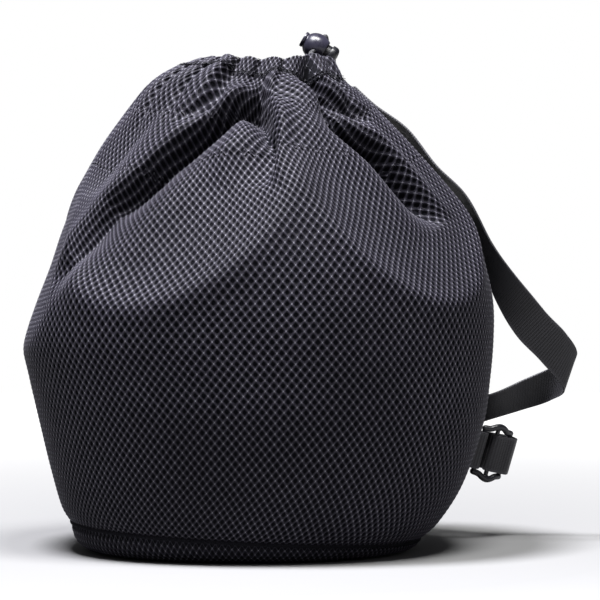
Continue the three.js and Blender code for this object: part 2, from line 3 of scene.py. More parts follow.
import bpy
import numpy as np
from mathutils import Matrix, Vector


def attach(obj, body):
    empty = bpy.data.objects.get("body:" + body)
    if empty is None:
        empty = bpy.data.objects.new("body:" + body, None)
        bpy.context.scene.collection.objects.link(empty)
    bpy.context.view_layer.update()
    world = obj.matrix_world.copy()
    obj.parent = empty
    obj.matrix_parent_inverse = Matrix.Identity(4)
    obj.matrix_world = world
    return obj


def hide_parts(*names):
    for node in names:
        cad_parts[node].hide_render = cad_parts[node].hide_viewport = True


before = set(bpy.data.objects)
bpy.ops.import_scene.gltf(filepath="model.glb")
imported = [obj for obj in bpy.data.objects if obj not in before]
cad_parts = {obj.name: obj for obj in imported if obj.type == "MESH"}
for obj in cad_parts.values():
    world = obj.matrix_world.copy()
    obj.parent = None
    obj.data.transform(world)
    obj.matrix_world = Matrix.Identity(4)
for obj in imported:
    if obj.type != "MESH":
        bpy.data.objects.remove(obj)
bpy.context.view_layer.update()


# ## Camera, floor and light
# The bag stands on grey paper that glows the more the farther it is from the bag, painted light that makes it pale
# away from the bag. It is seen from straight in front, nearly level with its middle. Two soft lights hang overhead
# and a weak one fills the right side. The white paper behind the bag glows little, so the cloth under its belly is
# dark.
VIEW_CENTRE = Vector((0.038, 0.0, 0.1655))
CAMERA_PLACE = Vector((0.038, -1.5, 0.155))
VIEW_WIDTH = 0.4
FLOOR_WIDTH = 6.0
FLOOR_GREY = 0.2
FLOOR_GLOWS_FROM, FLOOR_GLOWS_TO = 0.25, 1.6
ROOM_GLOW = 0.12


def aimed(place, target):
    """The turn that points an object's -Z axis from its place to a target."""
    return (Vector(target) - Vector(place)).to_track_quat("-Z", "Y").to_euler()


def soft_light(name, place, target, width, watts, colour=(1.0, 1.0, 1.0)):
    """A round area light of a width in metres, turned to its target."""
    lamp = bpy.data.lights.new(name, "AREA")
    lamp.shape = "DISK"
    lamp.size = width
    lamp.energy = watts
    lamp.color = colour
    holder = bpy.data.objects.new(name, lamp)
    holder.location = place
    holder.rotation_euler = aimed(place, target)
    bpy.context.scene.collection.objects.link(holder)


camera = bpy.data.cameras.new("camera")
camera.angle = 2 * math.atan(VIEW_WIDTH / 2 / -CAMERA_PLACE.y)
camera_holder = bpy.data.objects.new("camera", camera)
camera_holder.location = CAMERA_PLACE
camera_holder.rotation_euler = aimed(CAMERA_PLACE, VIEW_CENTRE)
bpy.context.scene.collection.objects.link(camera_holder)
bpy.context.scene.camera = camera_holder

bpy.ops.mesh.primitive_plane_add(size=FLOOR_WIDTH, location=(0, 0, 0))
floor = bpy.context.object
floor.name = "floor"
paint = bpy.data.materials.new("floor_paper")
paint.use_nodes = True
shade = paint.node_tree.nodes["Principled BSDF"]
shade.inputs["Base Color"].default_value = (FLOOR_GREY, FLOOR_GREY, FLOOR_GREY, 1)
shade.inputs["Roughness"].default_value = 0.9
# Painted light: the floor glows, not at all within 0.25 m of the bag's middle and fully from 1.6 m out.
shade.inputs["Emission Strength"].default_value = 1.0
place = paint.node_tree.nodes.new("ShaderNodeTexCoord")
distance = paint.node_tree.nodes.new("ShaderNodeVectorMath")
distance.operation = "LENGTH"
glow = paint.node_tree.nodes.new("ShaderNodeMapRange")
glow.inputs["From Min"].default_value = FLOOR_GLOWS_FROM
glow.inputs["From Max"].default_value = FLOOR_GLOWS_TO
paint.node_tree.links.new(place.outputs["Object"], distance.inputs[0])
paint.node_tree.links.new(distance.outputs["Value"], glow.inputs["Value"])
paint.node_tree.links.new(glow.outputs["Result"], shade.inputs["Emission Color"])
floor.data.materials.append(paint)

soft_light("key_light", (-0.32, -0.42, 1.7), (0.02, 0, 0.15), 0.42, 100, (0.95, 0.95, 1.0))
soft_light("top_light", (0.3, -0.58, 1.75), (0.02, 0, 0.15), 0.6, 56)
soft_light("fill_light", (1.2, -1.3, 0.9), (0, 0, 0.2), 0.7, 0.6)
world = bpy.data.worlds.new("pale_room")
world.use_nodes = True
room, surface = world.node_tree.nodes["Background"], world.node_tree.nodes["World Output"]
room.inputs["Color"].default_value = (0.9, 0.9, 0.95, 1)
room.inputs["Strength"].default_value = ROOM_GLOW
paper = world.node_tree.nodes.new("ShaderNodeBackground")
paper.inputs["Color"].default_value = (1, 1, 1, 1)
seen = world.node_tree.nodes.new("ShaderNodeLightPath")
either = world.node_tree.nodes.new("ShaderNodeMixShader")
for source, socket in ((seen.outputs["Is Camera Ray"], 0), (room.outputs[0], 1), (paper.outputs[0], 2)):
    world.node_tree.links.new(source, either.inputs[socket])
world.node_tree.links.new(either.outputs[0], surface.inputs["Surface"])
bpy.context.scene.world = world
bpy.context.scene.view_settings.view_transform = "Standard"


# ## The bag's cloth
# A tube of knitted polyester mesh, sewn to a round base and drawn up at the neck. It is filled out from inside, and the
# slack hangs in a few large folds. It has the CAD part's shape, in millimetres, with the folds sharper and deeper.
HALF_WIDTH = 157.0
HALF_DEPTH = 140.0
BAG_HEIGHT = 326.0
RIM_LIFT = 12.0
BASE_TURN_UP = 7.5
GATHER_COUNT = 18
GATHER_DEPTH = 6.0
ROUNDNESS = 2.15
ROLL_REACH = 5.0
FOLD_STEPS = 24
FOLD_EDGE = 1.5
STEEP_SIDE = 0.45
LIP_HEIGHT = 0.28
LIP_AT = 2.0
HANG_REACH = 1.1

# Height as a share of the bag's, how much higher the left side is, and the reach to the left, right, front and back.
SECTIONS = np.array([
    (0.024, 0, 0.725, 0.75, 0.75, 0.75),
    (0.058, 0, 0.765, 0.83, 0.8, 0.8),
    (0.138, 0, 0.807, 0.934, 0.87, 0.87),
    (0.26, 0, 0.862, 1.019, 0.945, 0.93),
    (0.343, 0, 0.9, 1.045, 0.975, 0.965),
    (0.426, 0, 0.934, 1.06, 0.995, 0.985),
    (0.506, 0, 0.918, 1.058, 0.995, 0.98),
    (0.589, 0, 0.88, 1.02, 0.975, 0.955),
    (0.672, 0, 0.86, 0.965, 0.92, 0.9),
    (0.752, 0, 0.805, 0.852, 0.835, 0.81),
    (0.834, 0, 0.7, 0.712, 0.7, 0.67),
    (0.89, 0.004, 0.56, 0.59, 0.555, 0.53),
    (0.93, 0.014, 0.42, 0.495, 0.41, 0.4),
    (0.954, 0.028, 0.27, 0.43, 0.305, 0.3),
    (1.0, 0, 0.17, 0.385, 0.255, 0.255),
])
HEM_FOOT = 1 - 1 / (len(SECTIONS) - 1)

# Flat places: the degrees from the front that each faces, its lower edge's height, how far it is pulled flat, the
# softness of its edge and the roll of cloth along it.
DRAPES = np.array([
    (-25, 0.49, 0.95, 8, 3),
    (9, 0.76, 0.9, 6, 3),
    (47, 0.5, 0.95, 8, 3),
    (-80, 0.4, 0.6, 10, 1),
    (118, 0.6, 0.7, 10, 1),
    (172, 0.5, 0.9, 12, 1),
    (-132, 0.54, 0.9, 12, 1),
])

# Folds: the degrees and height of each one's top, bend and foot, its depth and width, which side is steep, and how far
# that side hangs over.
FOLDS = np.array([
    (6, 0.925, -22, 0.865, -44, 0.72, 21, 11, 1, 8),
    (-38, 0.79, -49, 0.66, -62, 0.54, 13, 13, 1, 3),
    (-44, 0.92, -54, 0.84, -62, 0.74, 7, 12, 0, 0),
    (-19, 0.962, -21, 0.92, -35, 0.885, 10, 7, 1, 2),
    (3, 0.945, 10, 0.87, 3, 0.73, 18, 9, -1, 4),
    (46, 0.895, 60, 0.825, 66, 0.68, 27, 12, -1, 10),
    (31, 0.968, 48, 0.93, 69, 0.885, 15, 8, -1, 6),
    (150, 0.95, 146, 0.82, 138, 0.66, 17, 11, 1, 3),
    (-160, 0.95, -163, 0.8, -168, 0.64, 18, 11, -1, 3),
    (-112, 0.95, -104, 0.82, -98, 0.67, 16, 10, 1, 2),
])


def through_rows(column, share):
    """A smooth value through a column of numbers, the share running from 0 at the first to 1 at the last:
    a Catmull-Rom curve, each stretch a cubic through its two ends with the slopes of their neighbours."""
    last = len(column) - 1
    place = np.clip(share, 0, 1) * last
    first = np.minimum(np.floor(place).astype(int), last - 1)
    t = place - first
    a, b, c, d = (column[np.clip(first + step, 0, last)] for step in (-1, 0, 1, 2))
    return b + 0.5 * t * (c - a + t * (2 * a - 5 * b + 4 * c - d + t * (3 * (b - c) + d - a)))


def smooth_step(value, low, high):
    """0 up to the low value, 1 from the high one, and 3t^2 - 2t^3 in between."""
    t = np.clip((value - low) / (high - low), 0, 1)
    return t * t * (3 - 2 * t)


def unit(vectors):
    """Each vector divided by its length."""
    return vectors / np.linalg.norm(vectors, axis=-1, keepdims=True)


SHARE_RUN = np.linspace(0, 1, 4001)
HEIGHT_RUN = through_rows(SECTIONS[:, 0], SHARE_RUN)


def row_at_height(share):
    """The place in SECTIONS, from 0 to 1, of a share of the bag's height."""
    return np.interp(share, HEIGHT_RUN, SHARE_RUN)


def level_out(angle):
    """The level way out at an angle from the front: its sine to the right, its cosine to the front."""
    return np.stack([np.sin(angle), -np.cos(angle), 0 * angle], axis=-1)


def outline_point(angle, s):
    """The plain outline: an oval with its own reach on each side, its radius (|sin|^n + |cos|^n)^(-1/n), and
    the height of its row, curled up a little at the left foot."""
    sine, cosine = np.sin(angle), np.cos(angle)
    reach = (np.abs(sine) ** ROUNDNESS + np.abs(cosine) ** ROUNDNESS) ** (-1 / ROUNDNESS)
    height, left_up, left, right, front, back = (through_rows(column, s) for column in SECTIONS.T)
    height = height * BAG_HEIGHT
    curl = RIM_LIFT * (1 - sine) / 2 / (1 + (height / (8 * BASE_TURN_UP)) ** 2)
    return np.stack([
        ((right - left) / 2 + (right + left) / 2 * reach * sine) * HALF_WIDTH,
        ((back - front) / 2 - (back + front) / 2 * reach * cosine) * HALF_DEPTH,
        height + curl + left_up * BAG_HEIGHT * (1 - sine) / 2,
    ], axis=-1)


def outward_normal(point_at, angle, s, step=0.01):
    """The way out of a surface: the cross product of its run round the bag and its run up it."""
    along = point_at(angle + step, s) - point_at(angle - step, s)
    up = point_at(angle, np.minimum(s + step, 1)) - point_at(angle, np.maximum(s - step, 0))
    return unit(np.cross(along, up))


def drape_planes():
    """Each flat place's plane, through its lower edge and a point near the neck, level from left to right."""
    planes = []
    for facing, edge, pull, soft, roll in DRAPES:
        angle = math.radians(facing)
        low = outline_point(angle, row_at_height(edge))
        high = outline_point(angle, row_at_height(0.94))
        level = np.array([math.cos(angle), math.sin(angle), 0.0])
        planes.append((low, high, unit(np.cross(level, high - low)), pull, soft, roll))
    return planes


PLANES = drape_planes()


def draped_point(angle, s):
    """The outline pulled back to each flat place where it stands proud of it, with a small roll of cloth pushed
    out along the flat place's edge."""
    point = outline_point(angle, s)
    for low, high, normal, pull, soft, roll in PLANES:
        beyond = (point - low) @ normal
        eased = (beyond + soft) ** 2 / (4 * soft)
        push = np.where(beyond > soft, beyond, np.where(beyond < -soft, 0, eased))
        below = np.clip((high[2] - point[..., 2]) / (high[2] - low[2]), 0, 1)
        rolled = roll * np.exp(-((beyond / ROLL_REACH) ** 2)) * smooth_step(below, 0.25, 0.8)
        point = point + (rolled - pull * push)[..., None] * normal
    return point


def fold_paths():
    """Each fold's line on the draped cloth, a smooth run through its top, bend and foot, with the ways out and across."""
    paths = []
    for top, top_at, bend, bend_at, foot, foot_at, *form in FOLDS:
        t = np.linspace(0, 1, FOLD_STEPS + 1)
        angle = np.radians(through_rows(np.array([top, bend, foot]), t))
        s = row_at_height(through_rows(np.array([top_at, bend_at, foot_at]), t))
        at = draped_point(angle, s)
        normal = outward_normal(draped_point, angle, s)
        ends = np.arange(FOLD_STEPS + 1)
        run = at[np.minimum(ends + 1, FOLD_STEPS)] - at[np.maximum(ends - 1, 0)]
        paths.append((at, normal, unit(np.cross(unit(run), normal)), *form))
    return paths


PATHS = fold_paths()


def cloth_point(angle, s):
    """The cloth's outer face: the draped outline, each fold pressed in as a valley e^-(|side| / reach)^n, steeper on
    one side, with raised lips of which the steep one hangs over, and sharp gathers that grow towards the neck."""
    plain = draped_point(angle, s)
    point = plain.copy()
    for at, normal, across, depth, width, steep, overhang in PATHS:
        least = np.full(plain.shape[:-1], np.inf)
        best = np.zeros(plain.shape[:-1])
        for k in range(FOLD_STEPS):
            run = at[k + 1] - at[k]
            u = np.clip((plain - at[k]) @ run / (run @ run), 0, 1)
            distance = np.sum((plain - at[k] - u[..., None] * run) ** 2, axis=-1)
            nearer = distance < least
            least = np.where(nearer, distance, least)
            best = np.where(nearer, k + u, best)
        k = np.minimum(best.astype(int), FOLD_STEPS - 1)
        u = (best - k)[..., None]
        near_at = at[k] * (1 - u) + at[k + 1] * u
        near_normal = unit(normal[k] * (1 - u) + normal[k + 1] * u)
        near_across = unit(across[k] * (1 - u) + across[k + 1] * u)
        side = np.sum((plain - near_at) * near_across, axis=-1)
        past = np.maximum(0, least - side * side)
        fading = np.sin(np.pi * (0.18 + 0.82 * best / FOLD_STEPS)) * np.exp(-past / width**2)
        reach = width * (1 - STEEP_SIDE * steep * np.tanh(side / 2))
        valley = np.exp(-((np.abs(side) / reach) ** FOLD_EDGE))
        lips = np.exp(-(((np.abs(side) - LIP_AT * reach) / reach) ** 2))
        point = point + (depth * fading * (LIP_HEIGHT * lips - valley))[..., None] * near_normal
        hanging = np.exp(-(((side * steep - width) / (HANG_REACH * width)) ** 2))
        point = point - (overhang * steep * fading * hanging)[..., None] * near_across
    share = through_rows(SECTIONS[:, 0], s)
    gathered = smooth_step(share, 0.84, 0.965)
    turn = GATHER_COUNT * angle + 0.9 * np.sin(2 * angle + 1) + 0.7 * np.sin(3 * angle + 2)
    wave = 0.7 - 1.9 * np.exp(-((np.sin(turn / 2) / 0.42) ** 2)) * (0.8 + 0.2 * np.sin(5 * angle))
    return point + (gathered * GATHER_DEPTH * 0.5 * wave)[..., None] * level_out(angle)


# ## The mesh wall
# Knitted polyester: lens-shaped holes in staggered rows, with a raised knot of yarn at every corner between four of them.
# The net is real relief, in bands whose columns thin out towards the neck, laid over the inner side of the cloth:
# black cloth, darkened further as painted shade seen through the holes.
ROW_PITCH = 3.32
WALL_COLUMNS, SHOULDER_COLUMNS, THROAT_COLUMNS = 176, 136, 100
HOLE_TO_KNOT, HOLE_TO_STRAND = 0.43, 0.54
UNEVEN_WIDTH, UNEVEN_ACROSS, UNEVEN_UP = 0.05, 0.06, 0.05
STRAND_DIP = 0.22
ROW_KEY = 100000
FOOT_ROW = 0.6
NET_UNDER_CASING, BACKING_UNDER_CASING = 2, 3
BACKING_SINK = 1.0
BACKING_EVERY = 3
FABRIC = 2.0
STRAND_SINK = 0.75
SHEET_AROUND = 720
SHEET_UP = 360


def way_out(points, closed=True):
    """The way out of a grid of points: the cross product of its two directions."""
    along = np.gradient(points, axis=1)
    if closed:
        along[:, 0] = along[:, -1] = points[:, 1] - points[:, -2]
    return unit(np.cross(along, np.gradient(points, axis=0)))


def on_grid(grid, column, row):
    """Bilinear reading of a grid at fractional columns, which run round without a seam, and fractional rows."""
    wide, tall = grid.shape[1] - 1, grid.shape[0] - 1
    column = np.mod(column, wide)
    row = np.clip(row, 0, tall)
    i = np.minimum(column.astype(int), wide - 1)
    j = np.minimum(row.astype(int), tall - 1)
    a, b = (column - i)[..., None], (row - j)[..., None]
    low = grid[j, i] * (1 - a) + grid[j, i + 1] * a
    high = grid[j + 1, i] * (1 - a) + grid[j + 1, i + 1] * a
    return low * (1 - b) + high * b


def new_piece(name, points, faces):
    """A mesh object from points in millimetres and rows of corner numbers."""
    mesh = bpy.data.meshes.new(name)
    mesh.from_pydata((np.asarray(points) * 0.001).tolist(), [], np.asarray(faces).tolist())
    mesh.validate()
    mesh.polygons.foreach_set("use_smooth", np.full(len(mesh.polygons), True))
    piece = bpy.data.objects.new(name, mesh)
    bpy.context.scene.collection.objects.link(piece)
    return piece


def mark_points(piece, name, values):
    """Keeps a number at each point of a piece, for its material to read."""
    layer = piece.data.attributes.new(name, "FLOAT", "POINT")
    layer.data.foreach_set("value", np.asarray(values, dtype=np.float32))


def grid_faces(wide, tall, closed):
    """Four-cornered faces of a grid whose points run along rows of the given width, joined round if closed."""
    column = np.arange(wide if closed else wide - 1)
    row = np.arange(tall - 1)
    j, i = np.meshgrid(row, column, indexing="ij")
    right = (i + 1) % wide
    return np.stack([j * wide + i, j * wide + right, (j + 1) * wide + right, (j + 1) * wide + i], axis=-1).reshape(-1, 4)


def hoop_faces(wide, tall):
    """Faces of a grid that is joined round both ways."""
    faces = grid_faces(wide, tall + 1, True)
    return np.where(faces >= tall * wide, faces - tall * wide, faces)


ROUND_ANGLES = np.linspace(-np.pi, np.pi, SHEET_AROUND + 1)
cloth = cloth_point(*np.meshgrid(ROUND_ANGLES, np.linspace(0, 1, SHEET_UP + 1)))
cloth_out = way_out(cloth)


def run_length(grid):
    """How far along the cloth each row of a grid is from the first, in millimetres, on average round the bag."""
    steps = np.linalg.norm(np.diff(grid, axis=0), axis=-1).mean(axis=1)
    return np.concatenate([[0], np.cumsum(steps)])


def net_piece(name, grid, out, columns, row_from, row_to, first=0, last=None, seed=1):
    """The knitted net over a grid. In a lattice of half columns and rows, every second place is a hole: eight rim points,
    sunk, and round them four knots and four strand middles, which the neighbouring holes share."""
    last = 2 * columns if last is None else last
    length = run_length(grid)
    low, high = np.interp([row_from, row_to], np.arange(len(length)), length)
    rows = max(2, int(round((high - low) / ROW_PITCH)))
    k, j = np.meshgrid(np.arange(first, last), np.arange(1, rows))
    keep = (k + j) % 2 == 0
    k, j = k[keep], j[keep]
    step_x = np.array([2, 1, 0, -1, -2, -1, 0, 1])
    step_y = np.array([0, 1, 2, 1, 0, -1, -2, -1])
    outer_x = 2 * k[:, None] + step_x
    outer_y = 2 * j[:, None] + step_y
    keys, shared = np.unique((outer_y + 4) * ROW_KEY + np.mod(outer_x, 4 * columns), return_inverse=True)
    shared = shared.reshape(outer_x.shape)
    ring_x, ring_y = np.mod(keys, ROW_KEY), keys // ROW_KEY - 4
    rng = np.random.default_rng(seed)
    width = np.where(step_x * step_y == 0, HOLE_TO_KNOT, HOLE_TO_STRAND) * (1 + rng.normal(0, UNEVEN_WIDTH, (len(k), 1)))
    rim_x = 2 * k[:, None] + step_x * width + rng.normal(0, UNEVEN_ACROSS, (len(k), 1))
    rim_y = 2 * j[:, None] + step_y * width + rng.normal(0, UNEVEN_UP, (len(k), 1))
    x = np.concatenate([ring_x, rim_x.ravel()])
    y = np.concatenate([ring_y, rim_y.ravel()])
    is_knot = ring_x % 2 == 0
    rise = np.concatenate([np.where(is_knot, 0.0, -STRAND_DIP), np.full(rim_x.size, -STRAND_SINK)])
    # How high each point stands, 1 on knots and 0 at the sunk rims; the yarn material paints shade and highlights from
    # it.
    relief = np.concatenate([np.where(is_knot, 1.0, 0.7), np.zeros(rim_x.size)])
    column = x / (4 * columns) * (grid.shape[1] - 1)
    row = np.interp(low + np.clip(y / 2, 0, rows) * (high - low) / rows, length, np.arange(len(length)))
    points = on_grid(grid, column, row) + rise[:, None] * unit(on_grid(out, column, row))
    rim = len(keys) + np.arange(rim_x.size).reshape(rim_x.shape)
    after = np.roll(np.arange(8), -1)
    faces = np.stack([shared, shared[:, after], rim[:, after], rim], axis=-1).reshape(-1, 4)
    piece = new_piece(name, points, faces)
    mark_points(piece, "relief", relief)
    return piece


def layered_sheet(name, grid, out, outer, inner, every):
    """A closed band of cloth: the grid sunk by one depth for its outer face and by another for its inner face, joined
    along the top and bottom edges."""
    faces_out = grid[::every, :-1:every] - outer * out[::every, :-1:every]
    faces_in = grid[::every, :-1:every] - inner * out[::every, :-1:every]
    rings = np.concatenate([faces_out, faces_in[::-1]])
    return new_piece(name, rings.reshape(-1, 3), hoop_faces(rings.shape[1], rings.shape[0]))


def shader_of(name, roughness, sheen=0.0, sheen_roughness=0.5, coat=0.0, specular=0.5):
    """A new material: its node tree and its Principled shader, with the values that are the same all over it."""
    material = bpy.data.materials.new(name)
    material.use_nodes = True
    tree = material.node_tree
    shader = tree.nodes["Principled BSDF"]
    shader.inputs["Roughness"].default_value = roughness
    shader.inputs["Sheen Weight"].default_value = sheen
    shader.inputs["Sheen Roughness"].default_value = sheen_roughness
    shader.inputs["Coat Weight"].default_value = coat
    shader.inputs["Specular IOR Level"].default_value = specular
    return material, tree, shader


def ramp_between(tree, value, low_colour, high_colour, low=0.0, high=1.0):
    """A straight run from one colour to another while a value goes from low to high."""
    ramp = tree.nodes.new("ShaderNodeValToRGB")
    ramp.color_ramp.elements[0].position = low
    ramp.color_ramp.elements[0].color = (*low_colour, 1)
    ramp.color_ramp.elements[1].position = high
    ramp.color_ramp.elements[1].color = (*high_colour, 1)
    tree.links.new(value, ramp.inputs["Fac"])
    return ramp.outputs["Color"]


def attribute_of(tree, name):
    """The number that mark_points kept on the piece under a name."""
    reader = tree.nodes.new("ShaderNodeAttribute")
    reader.attribute_name = name
    return reader.outputs["Fac"]


def object_noise(tree, scale, detail):
    """Cloudy noise from 0 to 1 that is fixed to the object."""
    place = tree.nodes.new("ShaderNodeTexCoord")
    noise = tree.nodes.new("ShaderNodeTexNoise")
    noise.inputs["Scale"].default_value = scale
    noise.inputs["Detail"].default_value = detail
    tree.links.new(place.outputs["Object"], noise.inputs["Vector"])
    return noise.outputs["Fac"]


def bumped(tree, shader, height, strength, distance):
    """Fine relief from a height, its full depth a distance in metres."""
    bump = tree.nodes.new("ShaderNodeBump")
    bump.inputs["Strength"].default_value = strength
    bump.inputs["Distance"].default_value = distance
    tree.links.new(height, bump.inputs["Height"])
    tree.links.new(bump.outputs["Normal"], shader.inputs["Normal"])


def mixed(tree, kind, factor, first, second):
    """A colour mix of two sockets; the factor may be a socket or a number."""
    mix = tree.nodes.new("ShaderNodeMix")
    mix.data_type = "RGBA"
    mix.blend_type = kind
    for socket, value in ((mix.inputs[0], factor), (mix.inputs[6], first), (mix.inputs[7], second)):
        if isinstance(value, bpy.types.NodeSocket):
            tree.links.new(value, socket)
        else:
            socket.default_value = value
    return mix.outputs[2]


def yarn_group():
    """Shared by all the woven and knitted finishes: fine yarn grain and slow patches of wear, as masks from 0 to 1."""
    group = bpy.data.node_groups.new("yarn_grain", "ShaderNodeTree")
    group.interface.new_socket("Grain Scale", in_out="INPUT", socket_type="NodeSocketFloat")
    group.interface.new_socket("Patch Scale", in_out="INPUT", socket_type="NodeSocketFloat")
    group.interface.new_socket("Grain", in_out="OUTPUT", socket_type="NodeSocketFloat")
    group.interface.new_socket("Patches", in_out="OUTPUT", socket_type="NodeSocketFloat")
    ins = group.nodes.new("NodeGroupInput")
    outs = group.nodes.new("NodeGroupOutput")
    place = group.nodes.new("ShaderNodeTexCoord")
    for source, target, detail in (("Grain Scale", "Grain", 4.0), ("Patch Scale", "Patches", 2.0)):
        noise = group.nodes.new("ShaderNodeTexNoise")
        noise.inputs["Detail"].default_value = detail
        group.links.new(place.outputs["Object"], noise.inputs["Vector"])
        group.links.new(ins.outputs[source], noise.inputs["Scale"])
        group.links.new(noise.outputs["Fac"], outs.inputs[target])
    return group


YARN_GRAIN = yarn_group()


def yarn_grain(tree, grain_scale, patch_scale):
    """Places the shared yarn grain in a material."""
    user = tree.nodes.new("ShaderNodeGroup")
    user.node_tree = YARN_GRAIN
    user.inputs["Grain Scale"].default_value = grain_scale
    user.inputs["Patch Scale"].default_value = patch_scale
    return user.outputs["Grain"], user.outputs["Patches"]


def net_yarn(name):
    """Black polyester yarn with a violet cast: dull, and dark down in the strands towards the holes, painted shade,
    with a bright speck on each knot, a painted highlight.
    """
    material, tree, shader = shader_of(name, 0.5, sheen=0.015, sheen_roughness=0.4, specular=0.07)
    grain, patches = yarn_grain(tree, 2200.0, 14.0)
    relief = attribute_of(tree, "relief")
    # Painted shade: the strands' colour falls to nearly black down at the sunk rims of the holes.
    strands = ramp_between(tree, relief, (0.001, 0.001, 0.002), (0.0225, 0.0208, 0.0275), 0.03, 0.55)
    # Painted highlight: a bright speck of colour on each knot.
    painted_knot_highlights = ramp_between(tree, relief, (0, 0, 0), (0.24, 0.236, 0.25), 0.76, 1.0)
    colour = mixed(tree, "ADD", 1.0, strands, painted_knot_highlights)
    speckle = ramp_between(tree, grain, (0.45, 0.45, 0.48), (1.25, 1.25, 1.3), 0.3, 0.7)
    worn = ramp_between(tree, patches, (0.82, 0.82, 0.84), (1.12, 1.12, 1.14), 0.35, 0.65)
    colour = mixed(tree, "MULTIPLY", 1.0, colour, speckle)
    tree.links.new(mixed(tree, "MULTIPLY", 1.0, colour, worn), shader.inputs["Base Color"])
    bumped(tree, shader, grain, 0.6, 0.0004)
    return material


def dark_cloth(name, colour):
    """Dull, nearly black closed cloth."""
    material, tree, shader = shader_of(name, 0.95, specular=0.05)
    grain, patches = yarn_grain(tree, 1500.0, 20.0)
    tree.links.new(ramp_between(tree, grain, (0.002, 0.002, 0.003), colour, 0.3, 0.7), shader.inputs["Base Color"])
    bumped(tree, shader, grain, 0.3, 0.0003)
    return material


hem_row = HEM_FOOT * SHEET_UP
wall_top, shoulder_foot, shoulder_top, throat_foot = row_at_height(np.array([0.81, 0.8, 0.905, 0.895])) * SHEET_UP
quarter = WALL_COLUMNS // 2
# Name, columns round the bag, first and last row of the cloth, first and last half column of the net.
bands = [
    ("mesh_front", WALL_COLUMNS, FOOT_ROW, wall_top, quarter, 3 * quarter),
    ("mesh_back_right", WALL_COLUMNS, FOOT_ROW, wall_top, 3 * quarter, 4 * quarter),
    ("mesh_back_left", WALL_COLUMNS, FOOT_ROW, wall_top, 0, quarter),
    ("mesh_shoulder", SHOULDER_COLUMNS, shoulder_foot, shoulder_top),
    ("mesh_throat", THROAT_COLUMNS, throat_foot, hem_row + NET_UNDER_CASING),
]
nets = [net_piece(name, cloth, cloth_out, *band, seed=number) for number, (name, *band) in enumerate(bands, 2)]
net_material = net_yarn("mesh_yarn")
for piece in nets:
    piece.data.materials.append(net_material)
inner = slice(int(hem_row) + BACKING_UNDER_CASING)
backing = layered_sheet("mesh_inner_face", cloth[inner], cloth_out[inner], BACKING_SINK, FABRIC, BACKING_EVERY)
# The inner face is near black: the black cloth, darkened further as painted shade seen through the holes.
backing.data.materials.append(dark_cloth("mesh_shadow", (0.004, 0.004, 0.006)))
for piece in [*nets, backing]:
    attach(piece, "bag")
    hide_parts("mesh_body")


# ## The base
# A round panel of the same mesh with a closed, coated cloth inside it, its edge turned up and sewn to the wall.
# The left of the edge hangs a little clear of the floor.
SEAM_GAP = 0.3
# Reach as a share of the wall's foot, rise as a share of its height, and lengths inwards and up.
BASE_ROWS = np.array([
    (0.004, 0, 0, 0), (0.43, 0, 0, 0), (0.86, 0, 0, 0), (0.905, 0.07, 0, 0), (0.945, 0.22, 0, 0), (0.972, 0.4, 0, 0),
    (0.988, 0.62, 0, 0), (0.996, 0.82, 0, 0), (1, 1, 0.2, 0), (1, 1, 2.2, 0), (0.975, 0.5, 2, 0.6), (0.93, 0.2, 1, 2),
    (0.86, 0, 0, 2), (0.43, 0, 0, 2), (0.004, 0, 0, 2),
])
NET_FIRST_ROW, NET_LAST_ROW = 3, 9
EDGE_STEPS = 24
LIP_INSET = 0.9
SMOOTH_BELOW = math.radians(40)
BINDING_RADIUS = 1.1
BINDING_SHAPE = 0.55, 1.15
BINDING_SIDES = 12
BINDING_PROUD = 0.1


def base_rings(rows, inset):
    """The base's outline, which is the wall's foot, once for each row: drawn in by the row's reach, lowered by its
    rise, then moved inwards and up by lengths of its own."""
    edge = cloth[0] - (0, 0, SEAM_GAP)
    reach, rise, inwards, up = (column[:, None, None] for column in rows.T)
    flat = edge * (1, 1, 0) * reach
    return flat + (0, 0, 1) * (edge[:, 2:] * rise + up) - (inwards + inset) * level_out(ROUND_ANGLES)


def all_through(rows, share):
    """Every column of a table at once, each read smoothly through its rows."""
    return np.stack([through_rows(column, share) for column in rows.T], axis=-1)


def swept_faces(rings, caps=None):
    """Faces of a closed tube of rings: each ring is joined to the next, and the two end rings are filled across."""
    tall, wide = rings.shape[:2]
    i = np.arange(wide // 2 - 1)
    cap = np.stack([i, i + 1, wide - 2 - i, wide - 1 - i], axis=-1) if caps is None else np.array(caps)
    return np.concatenate([grid_faces(wide, tall, True), cap[:, ::-1], cap + (tall - 1) * wide])


def swept(name, rings, caps=None):
    """A closed piece from rings of points that turn to the right-hand way about the line they follow."""
    piece = new_piece(name, rings.reshape(-1, 3), swept_faces(rings, caps))
    piece.data.set_sharp_from_angle(angle=SMOOTH_BELOW)
    return piece


base_edge = base_rings(all_through(BASE_ROWS[NET_FIRST_ROW:NET_LAST_ROW], np.linspace(0, 1, EDGE_STEPS + 1)), 0.0)
base_net = net_piece("base_mesh", base_edge, way_out(base_edge), WALL_COLUMNS, 0, EDGE_STEPS, seed=7)
base_net.data.materials.append(net_material)
inset = np.where((BASE_ROWS[:, 0] > 0.9) & (np.arange(len(BASE_ROWS)) < NET_LAST_ROW), LIP_INSET, 0.0)[:, None, None]
base_cloth = swept("base_cloth", base_rings(BASE_ROWS, inset)[:, :-1])
base_cloth.data.materials.append(dark_cloth("base_coated_cloth", (0.012, 0.012, 0.015)))
